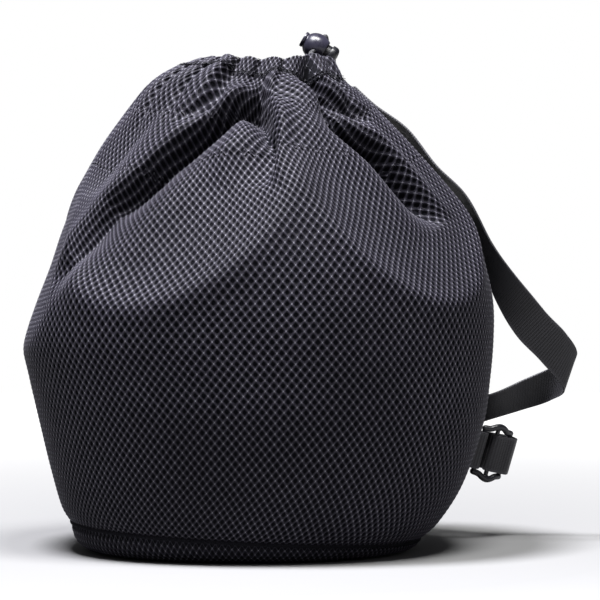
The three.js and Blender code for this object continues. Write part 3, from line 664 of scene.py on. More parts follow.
# The seam's binding: an oval tube round the wall's foot, from the cosine and sine of the turn about its line.
binding_turn = np.linspace(0, 2 * np.pi, BINDING_SIDES, endpoint=False)[:, None, None]
binding_oval = (BINDING_SHAPE[0] * np.cos(binding_turn) * level_out(ROUND_ANGLES[:-1])
                + BINDING_SHAPE[1] * np.sin(binding_turn) * (0, 0, 1))
binding = cloth[0, :-1] + BINDING_PROUD * level_out(ROUND_ANGLES[:-1]) + BINDING_RADIUS * binding_oval
base_seam = new_piece("base_seam_binding", binding.reshape(-1, 3), hoop_faces(SHEET_AROUND, BINDING_SIDES))
base_seam.data.materials.append(base_cloth.data.materials[0])
for piece in (base_net, base_cloth, base_seam):
    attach(piece, "bag")
    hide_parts("base_panel")


# ## The neck's casing
# The top of the mesh is turned in and stitched down as a tunnel for the drawcord. It is open at the right, where both
# ends of the cord come out, and the pull of the cord ruffles it.
RUFFLE_LIFT = 4.0
RUFFLE_AT, RUFFLE_SPREAD = 44.0, 24.0
HEM_OPENING_AT, HEM_OPENING_HALF = 92.0, 16.0
HEM_WALL = 1.4
HEM_TUNNEL = 6.4
HEM_WIDTH = HEM_TUNNEL + 2 * HEM_WALL
HEM_AROUND = 460
HEM_CLOTH_AROUND = 240
HEM_STEPS = 45
HEM_COLUMNS = 92
HEM_PATH = np.array([(0, 0), (0, 0.45), (0, 0.86), (0.9, 0.96), (2.8, 1.0), (HEM_WIDTH - 2.8, 1.0),
                     (HEM_WIDTH - 0.9, 0.96), (HEM_WIDTH, 0.86), (HEM_WIDTH, 0.5), (HEM_WIDTH, 0.14)])
HEM_CLOTH = np.array([(0.9, 0), (0.9, 0.84), (1.8, 0.93), (HEM_WIDTH - 1.8, 0.93), (HEM_WIDTH - 0.9, 0.84),
                      (HEM_WIDTH - 0.9, 0.14), (HEM_WIDTH - HEM_WALL, 0.14), (HEM_WIDTH - HEM_WALL, 0.82),
                      (HEM_WALL, 0.82), (HEM_WALL, 0)])
HEM_CAPS = [(9, 0, 1, 8), (8, 1, 2, 3), (8, 3, 4, 7), (7, 4, 5, 6)]


def neck_point(angle, inwards, rise):
    """Between the foot of the casing and the rim by its rise, then inwards from the cloth by a length. The rim stands up
    in a soft bell shape in front of the cord lock, and a little over each gather."""
    mix = rise[..., None]
    foot = cloth_point(angle, np.full_like(angle, HEM_FOOT))
    rim = cloth_point(angle, np.ones_like(angle))
    facing = np.degrees(np.arctan2(np.sin(angle), np.cos(angle)))
    lift = RUFFLE_LIFT * np.exp(-(((facing - RUFFLE_AT) / RUFFLE_SPREAD) ** 2)) + 0.8 * np.sin(GATHER_COUNT * angle)
    rim = rim + lift[..., None] * np.array([0.0, 0.0, 1.0])
    normal = outward_normal(draped_point, angle, np.full_like(angle, (HEM_FOOT + 1) / 2))
    return foot * (1 - mix) + rim * mix - inwards[..., None] * normal


def hem_angles(count):
    """Even steps round the neck, from one side of the casing's opening to the other."""
    gap = HEM_OPENING_HALF
    return np.radians(np.linspace(HEM_OPENING_AT + gap, HEM_OPENING_AT + 360 - gap, count))


def hem_rings(rows, angles):
    """The casing's section, rows of a length inwards and a rise, carried round the neck."""
    angle, inwards = np.meshgrid(angles, rows[:, 0])
    return neck_point(angle, inwards, np.broadcast_to(rows[:, 1:], angle.shape))


hem_face = hem_rings(all_through(HEM_PATH, np.linspace(0, 1, HEM_STEPS + 1)), hem_angles(HEM_AROUND + 1))
hem_out = way_out(hem_face, False)
hem_net = net_piece("casing_mesh", hem_face, hem_out, HEM_COLUMNS, 0, HEM_STEPS, 1, 2 * HEM_COLUMNS - 1, seed=8)
hem_net.data.materials.append(net_material)
hem_section = hem_rings(HEM_CLOTH, hem_angles(HEM_CLOTH_AROUND + 1)[::-1])
hem_cloth = swept("casing_cloth", hem_section.transpose(1, 0, 2), HEM_CAPS)
hem_cloth.data.materials.append(dark_cloth("casing_cloth", (0.008, 0.008, 0.01)))
for piece in (hem_net, hem_cloth):
    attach(piece, "bag")
    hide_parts("neck_hem")


# ## The seams
# Lockstitch in black polyester thread: two rows along the casing's foot here, and more where the webbing is sewn down.
# Each stitch is a short bulge of thread that dips at both ends.
STITCH_LENGTH = 2.6
STITCH_GAP = 0.7
THREAD_RADIUS = 0.28
STITCH_SIDES = 6
# Place along the stitch, radius and lift.
STITCH_PROFILE = np.array([(-0.5, 0.15, -0.3), (-0.42, 0.75, 0.15), (-0.2, 1, 0.4), (0.2, 1, 0.4), (0.42, 0.75, 0.15),
                           (0.5, 0.15, -0.3)])
SEAM_RISES = (0.06, 0.17)
SEAM_STEPS = 700


def run_along(points):
    """How far along a line each of its points is from the first."""
    return np.concatenate([[0], np.cumsum(np.linalg.norm(np.diff(points, axis=0), axis=-1))])


def evenly(points, step):
    """The places on a line of points that are one step apart, and the way along it at each."""
    run = run_along(points)
    places = np.arange(step / 2, run[-1], step)
    at = np.stack([np.interp(places, run, column) for column in points.T], axis=-1)
    ahead = np.stack([np.interp(places + step * 0.3, run, column) for column in points.T], axis=-1)
    return places / run[-1], at, unit(ahead - at + 1e-9)


def stitch_row(name, line, out, stitch=STITCH_LENGTH):
    """One capsule per stitch: a ring of points for each row of its profile, its ends filled across."""
    share, at, along = evenly(line, stitch + STITCH_GAP)
    index = share * (len(out) - 1)
    up = unit(np.stack([np.interp(index, np.arange(len(out)), column) for column in out.T], axis=-1))
    side = unit(np.cross(along, up))
    up = np.cross(side, along)
    turn = np.arange(STITCH_SIDES) * 2 * np.pi / STITCH_SIDES
    place, radius, lift = (column[None, :, None, None] for column in STITCH_PROFILE.T)
    centre = at[:, None, None] + place * stitch * along[:, None, None] + lift * THREAD_RADIUS * up[:, None, None]
    around = np.cos(turn)[:, None] * side[:, None, None] - np.sin(turn)[:, None] * up[:, None, None]
    rings = (centre + radius * THREAD_RADIUS * around).reshape(-1, 3)
    last = STITCH_SIDES * (len(STITCH_PROFILE) - 1)
    ends = np.array([(0, 5, 4, 1), (4, 3, 2, 1), (last, last + 1, last + 4, last + 5), (last + 1, last + 2, last + 3, last + 4)])
    one = np.concatenate([grid_faces(STITCH_SIDES, len(STITCH_PROFILE), True), ends])
    faces = (one[None] + (last + STITCH_SIDES) * np.arange(len(at))[:, None, None]).reshape(-1, 4)
    piece = new_piece(name, rings, faces)
    piece.data.materials.append(thread_material)
    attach(piece, "bag")
    return piece


def thread_of(name):
    """Black sewing thread, a little shiny."""
    material, tree, shader = shader_of(name, 0.55, specular=0.25)
    grain, patches = yarn_grain(tree, 3500.0, 60.0)
    colour = ramp_between(tree, grain, (0.004, 0.004, 0.006), (0.02, 0.019, 0.026), 0.3, 0.7)
    tree.links.new(colour, shader.inputs["Base Color"])
    bumped(tree, shader, grain, 0.4, 0.0002)
    return material


thread_material = thread_of("seam_thread")
for number, rise in enumerate(SEAM_RISES, 1):
    seam, under = (neck_point(hem_angles(SEAM_STEPS), np.full(SEAM_STEPS, inwards), np.full(SEAM_STEPS, rise))
                   for inwards in (-0.1, 1.0))
    stitch_row(f"casing_stitches_{number}", seam, unit(seam - under))


# ## The shoulder strap
# Ribbed polypropylene webbing, 26 mm wide. It is sewn to the neck, runs down the right shoulder, hangs free in a loop
# beside the bag, comes back behind it and goes through the buckle, where its end is turned back.
WEBBING_WIDTH = 26.0
WEBBING_THICKNESS = 1.4
RIB_PITCH = 2.0
RIB_DEPTH = 0.16
RIB_STEPS = 6
# Degrees from the front, share of the bag's height, and distance from the cloth.
STRAP_ON_CLOTH = np.array([(116, 0.94, 4.5), (109, 0.905, 4), (103, 0.85, 7), (99, 0.78, 4), (97, 0.71, 6)])
# Middle of the band, and the way across it.
STRAP_FREE = np.array([
    (164, 18, 197, -0.18, 0.8, -0.55),
    (177, 23, 174, -0.45, 0.6, -0.65),
    (195, 30, 149.6, -0.69, 0.2, -0.69),
    (210.7, 36, 133.8, -0.62, 0.15, -0.77),
    (223.6, 47, 116.8, -0.34, 0.1, -0.94),
    (213.8, 60, 108.5, -0.12, 0.3, -0.95),
    (193.4, 68, 100, 0, 0.55, -0.83),
    (168.6, 72, 90.7, -0.09, 0.65, -0.75),
    (146, 86, 84.5, 0.1, 0.4, -0.9),
    (124, 103, 79.5, 0.1, 0.15, -0.97),
    (110, 119, 74.5, 0.05, 0, -1),
    (123, 122, 69.5, 0, 0, -1),
    (150, 102, 63, -0.1, 0, -1),
])
# Along the buckle and out of it.
STRAP_IN_BUCKLE = np.array([(11, 8.6), (17.4, 3.4), (12.5, -3), (6, -3.2), (-1, -3), (-4.2, 0), (-1, 3), (4, 3.2),
                            (10, 3.4)])
BUCKLE_MIDDLE = np.array([172.0, 62.0, 60.0])
BUCKLE_ALONG = unit(np.array([0.85, 0.48, -0.2]))
BUCKLE_ACROSS = unit(np.array([-0.27, 0.078, -0.96]))
BUCKLE_OUT = unit(np.cross(BUCKLE_ALONG, BUCKLE_ACROSS))
# The band's section, as shares of half its width and half its thickness.
WEBBING_SECTION = np.array([(-0.4, -1), (0, -1), (0.4, -1), (0.8, -1), (0.975, -0.92), (1, -0.35), (1, 0.35),
                            (0.975, 0.92), (0.8, 1), (0.4, 1), (0, 1), (-0.4, 1), (-0.8, 1), (-0.975, 0.92),
                            (-1, 0.35), (-1, -0.35), (-0.975, -0.92), (-0.8, -1)])


def in_buckle(along, across, out):
    """Places from lengths along, across and out of the buckle."""
    directions = ((along, BUCKLE_ALONG), (across, BUCKLE_ACROSS), (out, BUCKLE_OUT))
    return BUCKLE_MIDDLE + sum(np.asarray(length, dtype=float)[..., None] * way for length, way in directions)


def webbing(name, at, across, material):
    """A flat band along rows of middles, each with the way across: its section is carried along a smooth run through
    the rows, and its faces sink by a cosine between the ribs. Its run and width are kept as attributes."""
    share = np.linspace(0, 1, 4000)
    line = all_through(at, share)
    wide = unit(all_through(across, share))
    run = run_along(line)
    places = np.arange(0, run[-1], RIB_PITCH / RIB_STEPS)
    line = np.stack([np.interp(places, run, column) for column in line.T], axis=-1)
    wide = unit(np.stack([np.interp(places, run, column) for column in wide.T], axis=-1))
    face = unit(np.cross(np.gradient(line, axis=0), wide))
    ribbed = np.abs(WEBBING_SECTION[:, 0]) < 0.9
    sunk = RIB_DEPTH * (0.5 - 0.5 * np.cos(2 * np.pi * places / RIB_PITCH))[:, None] * ribbed
    thick = WEBBING_SECTION[:, 1] * (WEBBING_THICKNESS / 2 - sunk)
    rings = line[:, None] + wide[:, None] * WEBBING_SECTION[:, :1] * WEBBING_WIDTH / 2 + face[:, None] * thick[..., None]
    piece = swept(name, rings)
    mark_points(piece, "run", np.repeat(places, len(WEBBING_SECTION)))
    mark_points(piece, "across", np.tile(WEBBING_SECTION[:, 0] * WEBBING_WIDTH / 2, len(places)))
    # The ribs' height, which the webbing material turns into painted shade between the ribs.
    mark_points(piece, "relief", 1 - np.broadcast_to(sunk, thick.shape).ravel() / RIB_DEPTH)
    piece.data.materials.append(material)
    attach(piece, "bag")
    return piece, line, wide, face


def crossed_waves_group():
    """Shared by webbing and cord: how high a yarn stands where two sets of yarns cross, from the distance along the
    band and the distance across it, each divided by its own pitch."""
    group = bpy.data.node_groups.new("crossed_yarns", "ShaderNodeTree")
    for socket in ("Along", "Across", "Along Pitch", "Across Pitch", "Slant"):
        group.interface.new_socket(socket, in_out="INPUT", socket_type="NodeSocketFloat")
    group.interface.new_socket("Height", in_out="OUTPUT", socket_type="NodeSocketFloat")
    ins = group.nodes.new("NodeGroupInput")
    outs = group.nodes.new("NodeGroupOutput")

    def calculated(operation, first, second=None):
        """One step of arithmetic on sockets or numbers."""
        node = group.nodes.new("ShaderNodeMath")
        node.operation = operation
        for socket, value in zip(node.inputs, (first, second)):
            if isinstance(value, bpy.types.NodeSocket):
                group.links.new(value, socket)
            elif value is not None:
                socket.default_value = value
        return node.outputs[0]

    along = calculated("DIVIDE", ins.outputs["Along"], ins.outputs["Along Pitch"])
    across = calculated("DIVIDE", ins.outputs["Across"], ins.outputs["Across Pitch"])
    slanted = calculated("MULTIPLY", across, ins.outputs["Slant"])
    leaning = calculated("MULTIPLY", along, ins.outputs["Slant"])
    waves = []
    for place in (calculated("ADD", along, slanted), calculated("SUBTRACT", across, leaning)):
        waves.append(calculated("ABSOLUTE", calculated("SINE", calculated("MULTIPLY", place, math.pi))))
    group.links.new(calculated("MULTIPLY", *waves), outs.inputs["Height"])
    return group


CROSSED_YARNS = crossed_waves_group()


def crossed_yarns(tree, along_pitch, across_pitch, slant=0.0):
    """Places the shared crossing of yarns in a material, along the piece's own run and width."""
    user = tree.nodes.new("ShaderNodeGroup")
    user.node_tree = CROSSED_YARNS
    tree.links.new(attribute_of(tree, "run"), user.inputs["Along"])
    tree.links.new(attribute_of(tree, "across"), user.inputs["Across"])
    user.inputs["Along Pitch"].default_value = along_pitch
    user.inputs["Across Pitch"].default_value = across_pitch
    user.inputs["Slant"].default_value = slant
    return user.outputs["Height"]


def webbing_yarn(name):
    """Black polypropylene yarn with a soft sheen: grey on the ribs, dark between them as painted shade,
    and darker where the crossing yarns dip, painted shade too.
    """
    material, tree, shader = shader_of(name, 0.5, sheen=0.08, sheen_roughness=0.4, specular=0.3)
    grain, patches = yarn_grain(tree, 2600.0, 22.0)
    yarns = crossed_yarns(tree, RIB_PITCH, 1.1)
    # Painted shade: the colour is grey on the rib tops and nearly black down between the ribs.
    colour = ramp_between(tree, attribute_of(tree, "relief"), (0.004, 0.004, 0.005), (0.042, 0.041, 0.046))
    # Painted shade: darker where the crossing yarns dip.
    painted_shade_between_yarns = ramp_between(tree, yarns, (0.55, 0.55, 0.57), (1.1, 1.1, 1.12), 0.05, 0.8)
    worn = ramp_between(tree, patches, (0.8, 0.8, 0.82), (1.15, 1.15, 1.15), 0.35, 0.65)
    colour = mixed(tree, "MULTIPLY", 1.0, colour, painted_shade_between_yarns)
    tree.links.new(mixed(tree, "MULTIPLY", 1.0, colour, worn), shader.inputs["Base Color"])
    bumped(tree, shader, mixed(tree, "ADD", 0.35, yarns, grain), 0.7, 0.0003)
    return material


face_angle, face_height, clear = STRAP_ON_CLOTH.T
face_angle, face_s = np.radians(face_angle), row_at_height(face_height)
on_cloth = draped_point(face_angle, face_s) + clear[:, None] * outward_normal(draped_point, face_angle, face_s)
right_of, left_of = (draped_point(face_angle + math.radians(degrees), face_s) for degrees in (4, -4))
over_cloth = unit(right_of - left_of)
threaded = in_buckle(STRAP_IN_BUCKLE[:, 0], np.zeros(len(STRAP_IN_BUCKLE)), STRAP_IN_BUCKLE[:, 1])
strap_at = np.concatenate([on_cloth, STRAP_FREE[:, :3], threaded])
strap_across = unit(np.concatenate([over_cloth, STRAP_FREE[:, 3:], np.tile(BUCKLE_ACROSS, (len(threaded), 1))]))
webbing_material = webbing_yarn("strap_webbing")
strap, strap_line, strap_wide, strap_face = webbing("strap_webbing", strap_at, strap_across, webbing_material)
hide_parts("shoulder_strap")

# The box of stitches that holds the strap's end, with its crossed diagonals, as places along and across the band.
corners = np.array([(2, -10.5), (20, -10.5), (20, 10.5), (2, 10.5), (2, -10.5), (20, 10.5), (20, -10.5), (2, 10.5)])
turns = np.concatenate([np.linspace(a, b, 40) for a, b in zip(corners[:-1], corners[1:])])
places = np.minimum((turns[:, 0] * RIB_STEPS / RIB_PITCH).astype(int), len(strap_line) - 1)
box = strap_line[places] + strap_wide[places] * turns[:, 1:] - strap_face[places] * (WEBBING_THICKNESS / 2 - 0.1)
stitch_row("strap_box_stitches", box, -strap_face[places])


# ## The webbing loop at the bottom
# A short length of the same webbing, sewn into the base seam, goes round the buckle's inner bar and back.
# Along the buckle and out of it.
ANCHOR = np.array([(-30, -1.1), (-24, -1.5), (-16, -2.8), (-12, -3.1), (-8.8, 0), (-12, 3.1), (-16, 2.8), (-24, 1.5),
                   (-30, 1.1)])
TACK_AT, TACK_REACH, TACK_OUT = -21.5, 11.5, 2.6
TACK_STEPS = 60
TACK_STITCH = 1.8
anchor_at = in_buckle(ANCHOR[:, 0], np.zeros(len(ANCHOR)), ANCHOR[:, 1])
anchor, _, _, _ = webbing("anchor_webbing", anchor_at, np.tile(BUCKLE_ACROSS, (len(ANCHOR), 1)), webbing_material)
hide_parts("lower_anchor")
for name, side in (("front", -1), ("back", 1)):
    across = np.linspace(-TACK_REACH, TACK_REACH, TACK_STEPS)
    bar_tack = in_buckle(np.full(TACK_STEPS, TACK_AT), across, np.full(TACK_STEPS, side * TACK_OUT))
    tack_out = np.tile(side * BUCKLE_OUT, (TACK_STEPS, 1))
    stitch_row(f"anchor_stitches_{name}", bar_tack, tack_out, TACK_STITCH)


# ## The ladder lock
# The strap's buckle, injection-moulded in one piece of glossy acetal: two bowed side rails, a bar for the loop, a bar
# that grips the strap and a broad rounded lip to lift it by.
BAR_RADIUS = 1.6
RAIL_RADIUS = 2.2
RAIL_SIDE = 15.6
BAR_ANCHOR, BAR_GRIP, BAR_LIP = -12.0, -1.0, 9.5
GRIP_SET = -2.6
# Along the buckle, out of it, and how far the rail bows outwards.
RAIL = np.array([(-12, 0, 0), (-8, -1.5, 0.6), (-5, -2.3, 2.3), (-1.5, -2.6, 3.3), (2, -2.4, 2.4), (5, -1.9, 0.6),
                 (9.5, 0, 0)])
MOULDING_GRAIN = 0.00042


def through_points(points, count):
    """A smooth line through points: a Catmull-Rom curve whose knots are spaced by the square root of the distance,
    read at even lengths."""
    points = np.asarray(points, dtype=float)
    knots = np.concatenate([[0], np.cumsum(np.sqrt(np.linalg.norm(np.diff(points, axis=0), axis=-1)))])
    before, after = 2 * points[0] - points[1], 2 * points[-1] - points[-2]
    held = np.concatenate([[before], points, [after]])
    times = np.concatenate([[2 * knots[0] - knots[1]], knots, [2 * knots[-1] - knots[-2]]])
    gap = np.diff(times)[:, None]
    step = np.diff(held, axis=0) / gap
    slope = step[:-1] - (held[2:] - held[:-2]) / (gap[:-1] + gap[1:]) + step[1:]
    place = np.linspace(0, knots[-1], count * 8)
    k = np.clip(np.searchsorted(knots, place, side="right") - 1, 0, len(points) - 2)
    wide = (knots[k + 1] - knots[k])[:, None]
    t = (place[:, None] - knots[k][:, None]) / wide
    line = ((2 * t**3 - 3 * t**2 + 1) * points[k] + (t**3 - 2 * t**2 + t) * wide * slope[k]
            + (3 * t**2 - 2 * t**3) * points[k + 1] + (t**3 - t**2) * wide * slope[k + 1])
    run = run_along(line)
    return np.stack([np.interp(np.linspace(0, run[-1], count), run, column) for column in line.T], axis=-1)


def tube_rings(line, radius, reference, sides=16, ends=True):
    """Rings round a line: each point is the line's, plus the radius times the cosine and sine of its turn, in the
    plane square to the line. The ends are rounded off by rings that shrink along a quarter circle."""
    line = np.asarray(line, dtype=float)
    along = unit(np.gradient(line, axis=0))
    first = unit(np.cross(along, reference))
    second = np.cross(along, first)
    size = np.full(len(line), radius)
    if ends:
        quarter = np.linspace(0.1, 1, 5)[:-1] * np.pi / 2
        start = line[0] - along[0] * radius * np.cos(quarter)[:, None]
        stop = line[-1] + along[-1] * radius * np.cos(quarter[::-1])[:, None]
        line = np.concatenate([start, line, stop])
        size = np.concatenate([radius * np.sin(quarter), size, radius * np.sin(quarter[::-1])])
        first = np.concatenate([np.tile(first[0], (4, 1)), first, np.tile(first[-1], (4, 1))])
        second = np.concatenate([np.tile(second[0], (4, 1)), second, np.tile(second[-1], (4, 1))])
    turn = np.linspace(0, 2 * np.pi, sides, endpoint=False)[:, None]
    around = np.cos(turn) * first[:, None] + np.sin(turn) * second[:, None]
    return line[:, None] + size[:, None, None] * around


def moulded(name, bars, grain):
    """Bars fused into one skin by a voxel remesh, and smoothed, which leaves the small fillets of a moulding."""
    points = np.concatenate([rings.reshape(-1, 3) for rings in bars])
    starts = np.cumsum([0] + [rings.shape[0] * rings.shape[1] for rings in bars])
    faces = np.concatenate([swept_faces(rings) + start for rings, start in zip(bars, starts)])
    whole = new_piece(name, points, faces)
    remesh = whole.modifiers.new("fused", "REMESH")
    remesh.mode = "VOXEL"
    remesh.voxel_size = grain
    remesh.use_smooth_shade = True
    smooth = whole.modifiers.new("fillets", "SMOOTH")
    smooth.factor = 0.5
    smooth.iterations = 5
    return whole


def moulded_plastic(name, colour, roughness=0.28):
    """Black acetal with a fine spark-eroded grain and the dust and scuffs of use."""
    material, tree, shader = shader_of(name, roughness, coat=0.05, specular=0.35)
    scuffs = object_noise(tree, 180.0, 6.0)
    dust = object_noise(tree, 45.0, 3.0)
    low = tuple(channel * 0.6 for channel in colour)
    tree.links.new(ramp_between(tree, dust, low, colour, 0.35, 0.65), shader.inputs["Base Color"])
    rough = tree.nodes.new("ShaderNodeMapRange")
    rough.inputs["From Min"].default_value = 0.3
    rough.inputs["From Max"].default_value = 0.7
    rough.inputs["To Min"].default_value = roughness - 0.08
    rough.inputs["To Max"].default_value = roughness + 0.14
    tree.links.new(scuffs, rough.inputs["Value"])
    tree.links.new(rough.outputs["Result"], shader.inputs["Roughness"])
    bumped(tree, shader, object_noise(tree, 5000.0, 2.0), 0.12, 0.0001)
    return material


ends = np.array([-RAIL_SIDE, RAIL_SIDE])
bars = []
for side in ends:
    rail = in_buckle(RAIL[:, 0], side + np.sign(side) * RAIL[:, 2], RAIL[:, 1])
    bars.append(tube_rings(through_points(rail, 30), RAIL_RADIUS, BUCKLE_ACROSS))
    post = in_buckle(np.full(2, BAR_GRIP), np.full(2, side + np.sign(side) * 3.2), np.array([GRIP_SET, 0]))
    bars.append(tube_rings(post, BAR_RADIUS, BUCKLE_ALONG))
for along in (BAR_ANCHOR, BAR_GRIP, BAR_LIP):
    reach = ends * 1.2 if along == BAR_GRIP else ends
    bars.append(tube_rings(in_buckle(np.full(2, along), reach, np.zeros(2)), BAR_RADIUS, BUCKLE_OUT))
ladder_lock = moulded("ladder_lock_moulding", bars, MOULDING_GRAIN)
ladder_lock.data.materials.append(moulded_plastic("buckle_acetal", (0.014, 0.014, 0.018)))
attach(ladder_lock, "bag")
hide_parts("ladder_lock")


# ## The cord lock
# A spring toggle of two turned mouldings. The round body has a flat foot and a slot for both strands, and the button
# slides in it against a spring. Pressed 3 mm in, the button's slot lines up with the body's.
LOCK_MIDDLE = np.array([49.0, 4.0, 334.8])
LOCK_TILT, LOCK_TURN = math.radians(32), math.radians(40)
LOCK_AXIS = np.array([math.cos(LOCK_TILT), 0, -math.sin(LOCK_TILT)])
LOCK_UP = np.array([math.sin(LOCK_TILT), 0, math.cos(LOCK_TILT)])
LOCK_THROUGH = np.array([0, math.cos(LOCK_TURN), 0]) + math.sin(LOCK_TURN) * LOCK_UP
LOCK_SIDE = np.cross(LOCK_AXIS, LOCK_THROUGH)
CORD_DIAMETER = 3.0
CORD_SLOT = 2 * CORD_DIAMETER + 1.4
LOCK_TRAVEL = 3.0
LOCK_SIDES = 72
SLOT_STEPS = 32
SLOT_REACH = 14.0
SHARP_ABOVE = math.radians(35)
# Place along the lock's axis, and radius.
BODY_ROWS = np.array([(-10.6, 0.4), (-10.6, 4.6), (-10.45, 5.2), (-10.1, 5.4), (-9.1, 5.4), (-8.75, 5.3), (-8.4, 4.95),
                      (-8.0, 5.1), (-7.4, 5.95), (-6.8, 6.6), (-5.4, 7.65), (-3.6, 8.5), (-1.8, 8.97), (0, 9.1),
                      (1.8, 8.97), (3.4, 8.5),
                      (5, 7.9), (6.1, 7.35), (6.4, 7.0), (6.4, 6.1), (6.2, 6.0), (-6, 6.0), (-6, 0.4)])
BUTTON_ROWS = np.array([(-2.6, 0.4), (-2.6, 5.2), (-2.45, 5.55), (-2.1, 5.65), (9.5, 5.65), (9.65, 5.9), (9.75, 6.5),
                        (10.0, 6.85), (10.4, 6.95), (12.2, 7.0), (13.3, 6.8), (14.2, 6.2), (14.8, 5.2), (15.2, 3.8),
                        (15.4, 2.0), (15.45, 0.4)])


def in_lock(along, side, through):
    """Places from lengths along the lock's axis, to its side and along the cords through it."""
    directions = ((along, LOCK_AXIS), (side, LOCK_SIDE), (through, LOCK_THROUGH))
    return LOCK_MIDDLE + sum(np.asarray(length, dtype=float)[..., None] * way for length, way in directions)


def turned(name, rows):
    """A shape turned on the lock's axis: each row's radius times the cosine and sine of the turn, at its place along."""
    along, radius = (column[:, None] for column in rows.T)
    turn = np.linspace(0, 2 * np.pi, LOCK_SIDES, endpoint=False)
    return swept(name, in_lock(along + 0 * turn, radius * np.cos(turn), -radius * np.sin(turn)))


def slotted(piece, low, high, width):
    """Cuts a straight slot with round ends through the lock: an oval, carried straight from one side to the other."""
    turn = np.linspace(0, 2 * np.pi, SLOT_STEPS, endpoint=False)
    half = (high - low) / 2
    along = (low + high) / 2 + half * np.cos(turn)
    side = -half * np.sin(turn) - np.sign(np.sin(turn)) * (width / 2 - half)
    through = np.array([-SLOT_REACH, SLOT_REACH])[:, None]
    cutter = swept("slot", in_lock(along + 0 * through, side + 0 * through, through + 0 * along))
    cut = piece.modifiers.new("slot", "BOOLEAN")
    cut.operation = "DIFFERENCE"
    cut.solver = "EXACT"
    cut.object = cutter
    bpy.context.view_layer.update()
    mesh = bpy.data.meshes.new_from_object(piece.evaluated_get(bpy.context.evaluated_depsgraph_get()))
    piece.modifiers.clear()
    piece.data = mesh
    bpy.data.objects.remove(cutter)
    mesh.set_sharp_from_angle(angle=SHARP_ABOVE)


lock_body = turned("cord_lock_moulding", BODY_ROWS)
slotted(lock_body, -2.0, 2.0, CORD_SLOT)
lock_body.data.materials.append(moulded_plastic("lock_body_acetal", (0.019, 0.018, 0.03), 0.3))
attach(lock_body, "bag")
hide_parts("cord_lock_body")
lock_button = turned("cord_lock_button", BUTTON_ROWS)
slotted(lock_button, -1.9, 1.9 + LOCK_TRAVEL, CORD_SLOT - 0.4)
lock_button.data.materials.append(moulded_plastic("lock_button_acetal", (0.004, 0.004, 0.006), 0.36))
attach(lock_button, "lock_button")
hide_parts("cord_lock_plunger")


# ## The drawcord
# Braided polyester cord, 3 mm thick. It runs in the casing nearly all the way round, both ends come out at the opening,
# pass side by side through the cord lock, and are tied together in one knot.
STRAND_GAP = 3.5
KNOT = np.array([58.5, 36.5, 328.5])
KNOT_SIZE = 0.92
BRAID_PITCH = 1.5
RING_STEPS = 600
STRAND_STEPS = 220


def braided(name, line, reference, sides=18, ends=True):
    """A round cord along a line, its surface swelling a little where the braid's strands cross, with its run and the
    length round it kept as attributes."""
    rings = tube_rings(line, CORD_DIAMETER / 2, reference, sides, ends)
    tall = len(rings)
    centres = rings.mean(axis=1)
    run = run_along(centres)
    turn = np.arange(sides) / sides
    phase = 2 * np.pi * (run[:, None] / (2 * BRAID_PITCH)), 2 * np.pi * 3 * turn[None]
    swell = 0.07 * (np.cos(phase[0] + phase[1]) * np.cos(phase[0] - phase[1]))
    rings = centres[:, None] + (rings - centres[:, None]) * (1 + swell[..., None] - 0.05)
    piece = swept(name, rings)
    mark_points(piece, "run", np.repeat(run, sides))
    mark_points(piece, "across", np.tile(np.minimum(turn, 1 - turn) * np.pi * CORD_DIAMETER, tall))
    # The braid's swelling, which the cord material turns into painted shade between the strands.
    mark_points(piece, "relief", np.clip(0.5 + swell.ravel() / 0.14, 0, 1))
    piece.data.materials.append(cord_material)
    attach(piece, "bag")
    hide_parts("drawcord")
    return piece


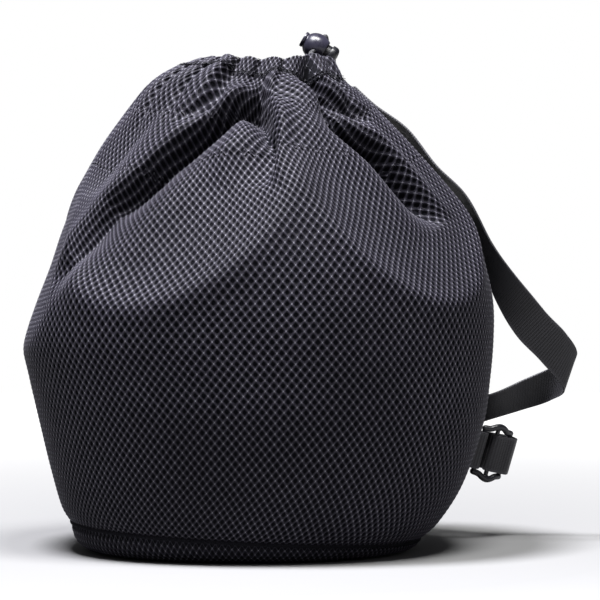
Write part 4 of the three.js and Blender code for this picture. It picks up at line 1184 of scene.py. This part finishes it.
def cord_yarn(name):
    """Black braided yarn, dark down between the strands and where the crossing yarns dip: painted shade."""
    material, tree, shader = shader_of(name, 0.55, sheen=0.08, specular=0.3)
    grain, patches = yarn_grain(tree, 3000.0, 40.0)
    yarns = crossed_yarns(tree, 0.5, 0.5, 0.6)
    # Painted shade: darker down between the braid's strands.
    colour = ramp_between(tree, attribute_of(tree, "relief"), (0.008, 0.008, 0.01), (0.045, 0.044, 0.05), 0.1, 0.9)
    # Painted shade: darker where the crossing yarns dip.
    painted_shade_between_yarns = ramp_between(tree, yarns, (0.6, 0.6, 0.62), (1.15, 1.15, 1.15), 0.1, 0.8)
    tree.links.new(mixed(tree, "MULTIPLY", 1.0, colour, painted_shade_between_yarns), shader.inputs["Base Color"])
    bumped(tree, shader, mixed(tree, "ADD", 0.3, yarns, grain), 0.6, 0.00025)
    return material


cord_material = cord_yarn("drawcord_braid")
ring_line = neck_point(hem_angles(RING_STEPS), np.full(RING_STEPS, HEM_WALL + HEM_TUNNEL / 2), np.full(RING_STEPS, 0.58))
exits = {"front": ring_line[-1] + (0, 4, 0.6), "back": ring_line[0] + (-0.3, -4, 0.6)}
ring_line = np.concatenate([[exits["back"]], ring_line, [exits["front"]]])
braided("cord_in_casing", ring_line, np.array([0, 0, 1.0]), 12, False)

# The knot is a trefoil: (sin t + 2 sin 2t, cos t - 2 cos 2t, -1.4 sin 3t), laid along the lock's own directions.
loop = np.linspace(0, 2 * np.pi, 121)
trefoil = np.stack([
    np.sin(loop) + 2 * np.sin(2 * loop), np.cos(loop) - 2 * np.cos(2 * loop), -1.4 * np.sin(3 * loop),
], axis=-1)
knot_line = KNOT + KNOT_SIZE * trefoil @ np.stack([LOCK_AXIS, LOCK_SIDE, LOCK_THROUGH])
knot = braided("cord_knot", knot_line, LOCK_THROUGH, 14, False)
for name, way, lead in (("front", 1, (-5.2, 1, 3.4)), ("back", -1, (-5.2, -5.5, 2.9))):
    side = way * STRAND_GAP / 2
    stops = [exits[name], exits[name] + np.array(lead)]
    stops += [in_lock(0, side, -14), in_lock(0, side, -9), in_lock(0, side, 0), in_lock(0, side, 9)]
    stops += [in_lock(0, side, 15) + (0.5, 0, -1), KNOT + (-2.2, -8, 5.5) + LOCK_SIDE * side * 0.6, KNOT]
    line = through_points(stops, STRAND_STEPS)
    strand = braided(f"drawcord_{name}", line, LOCK_AXIS)
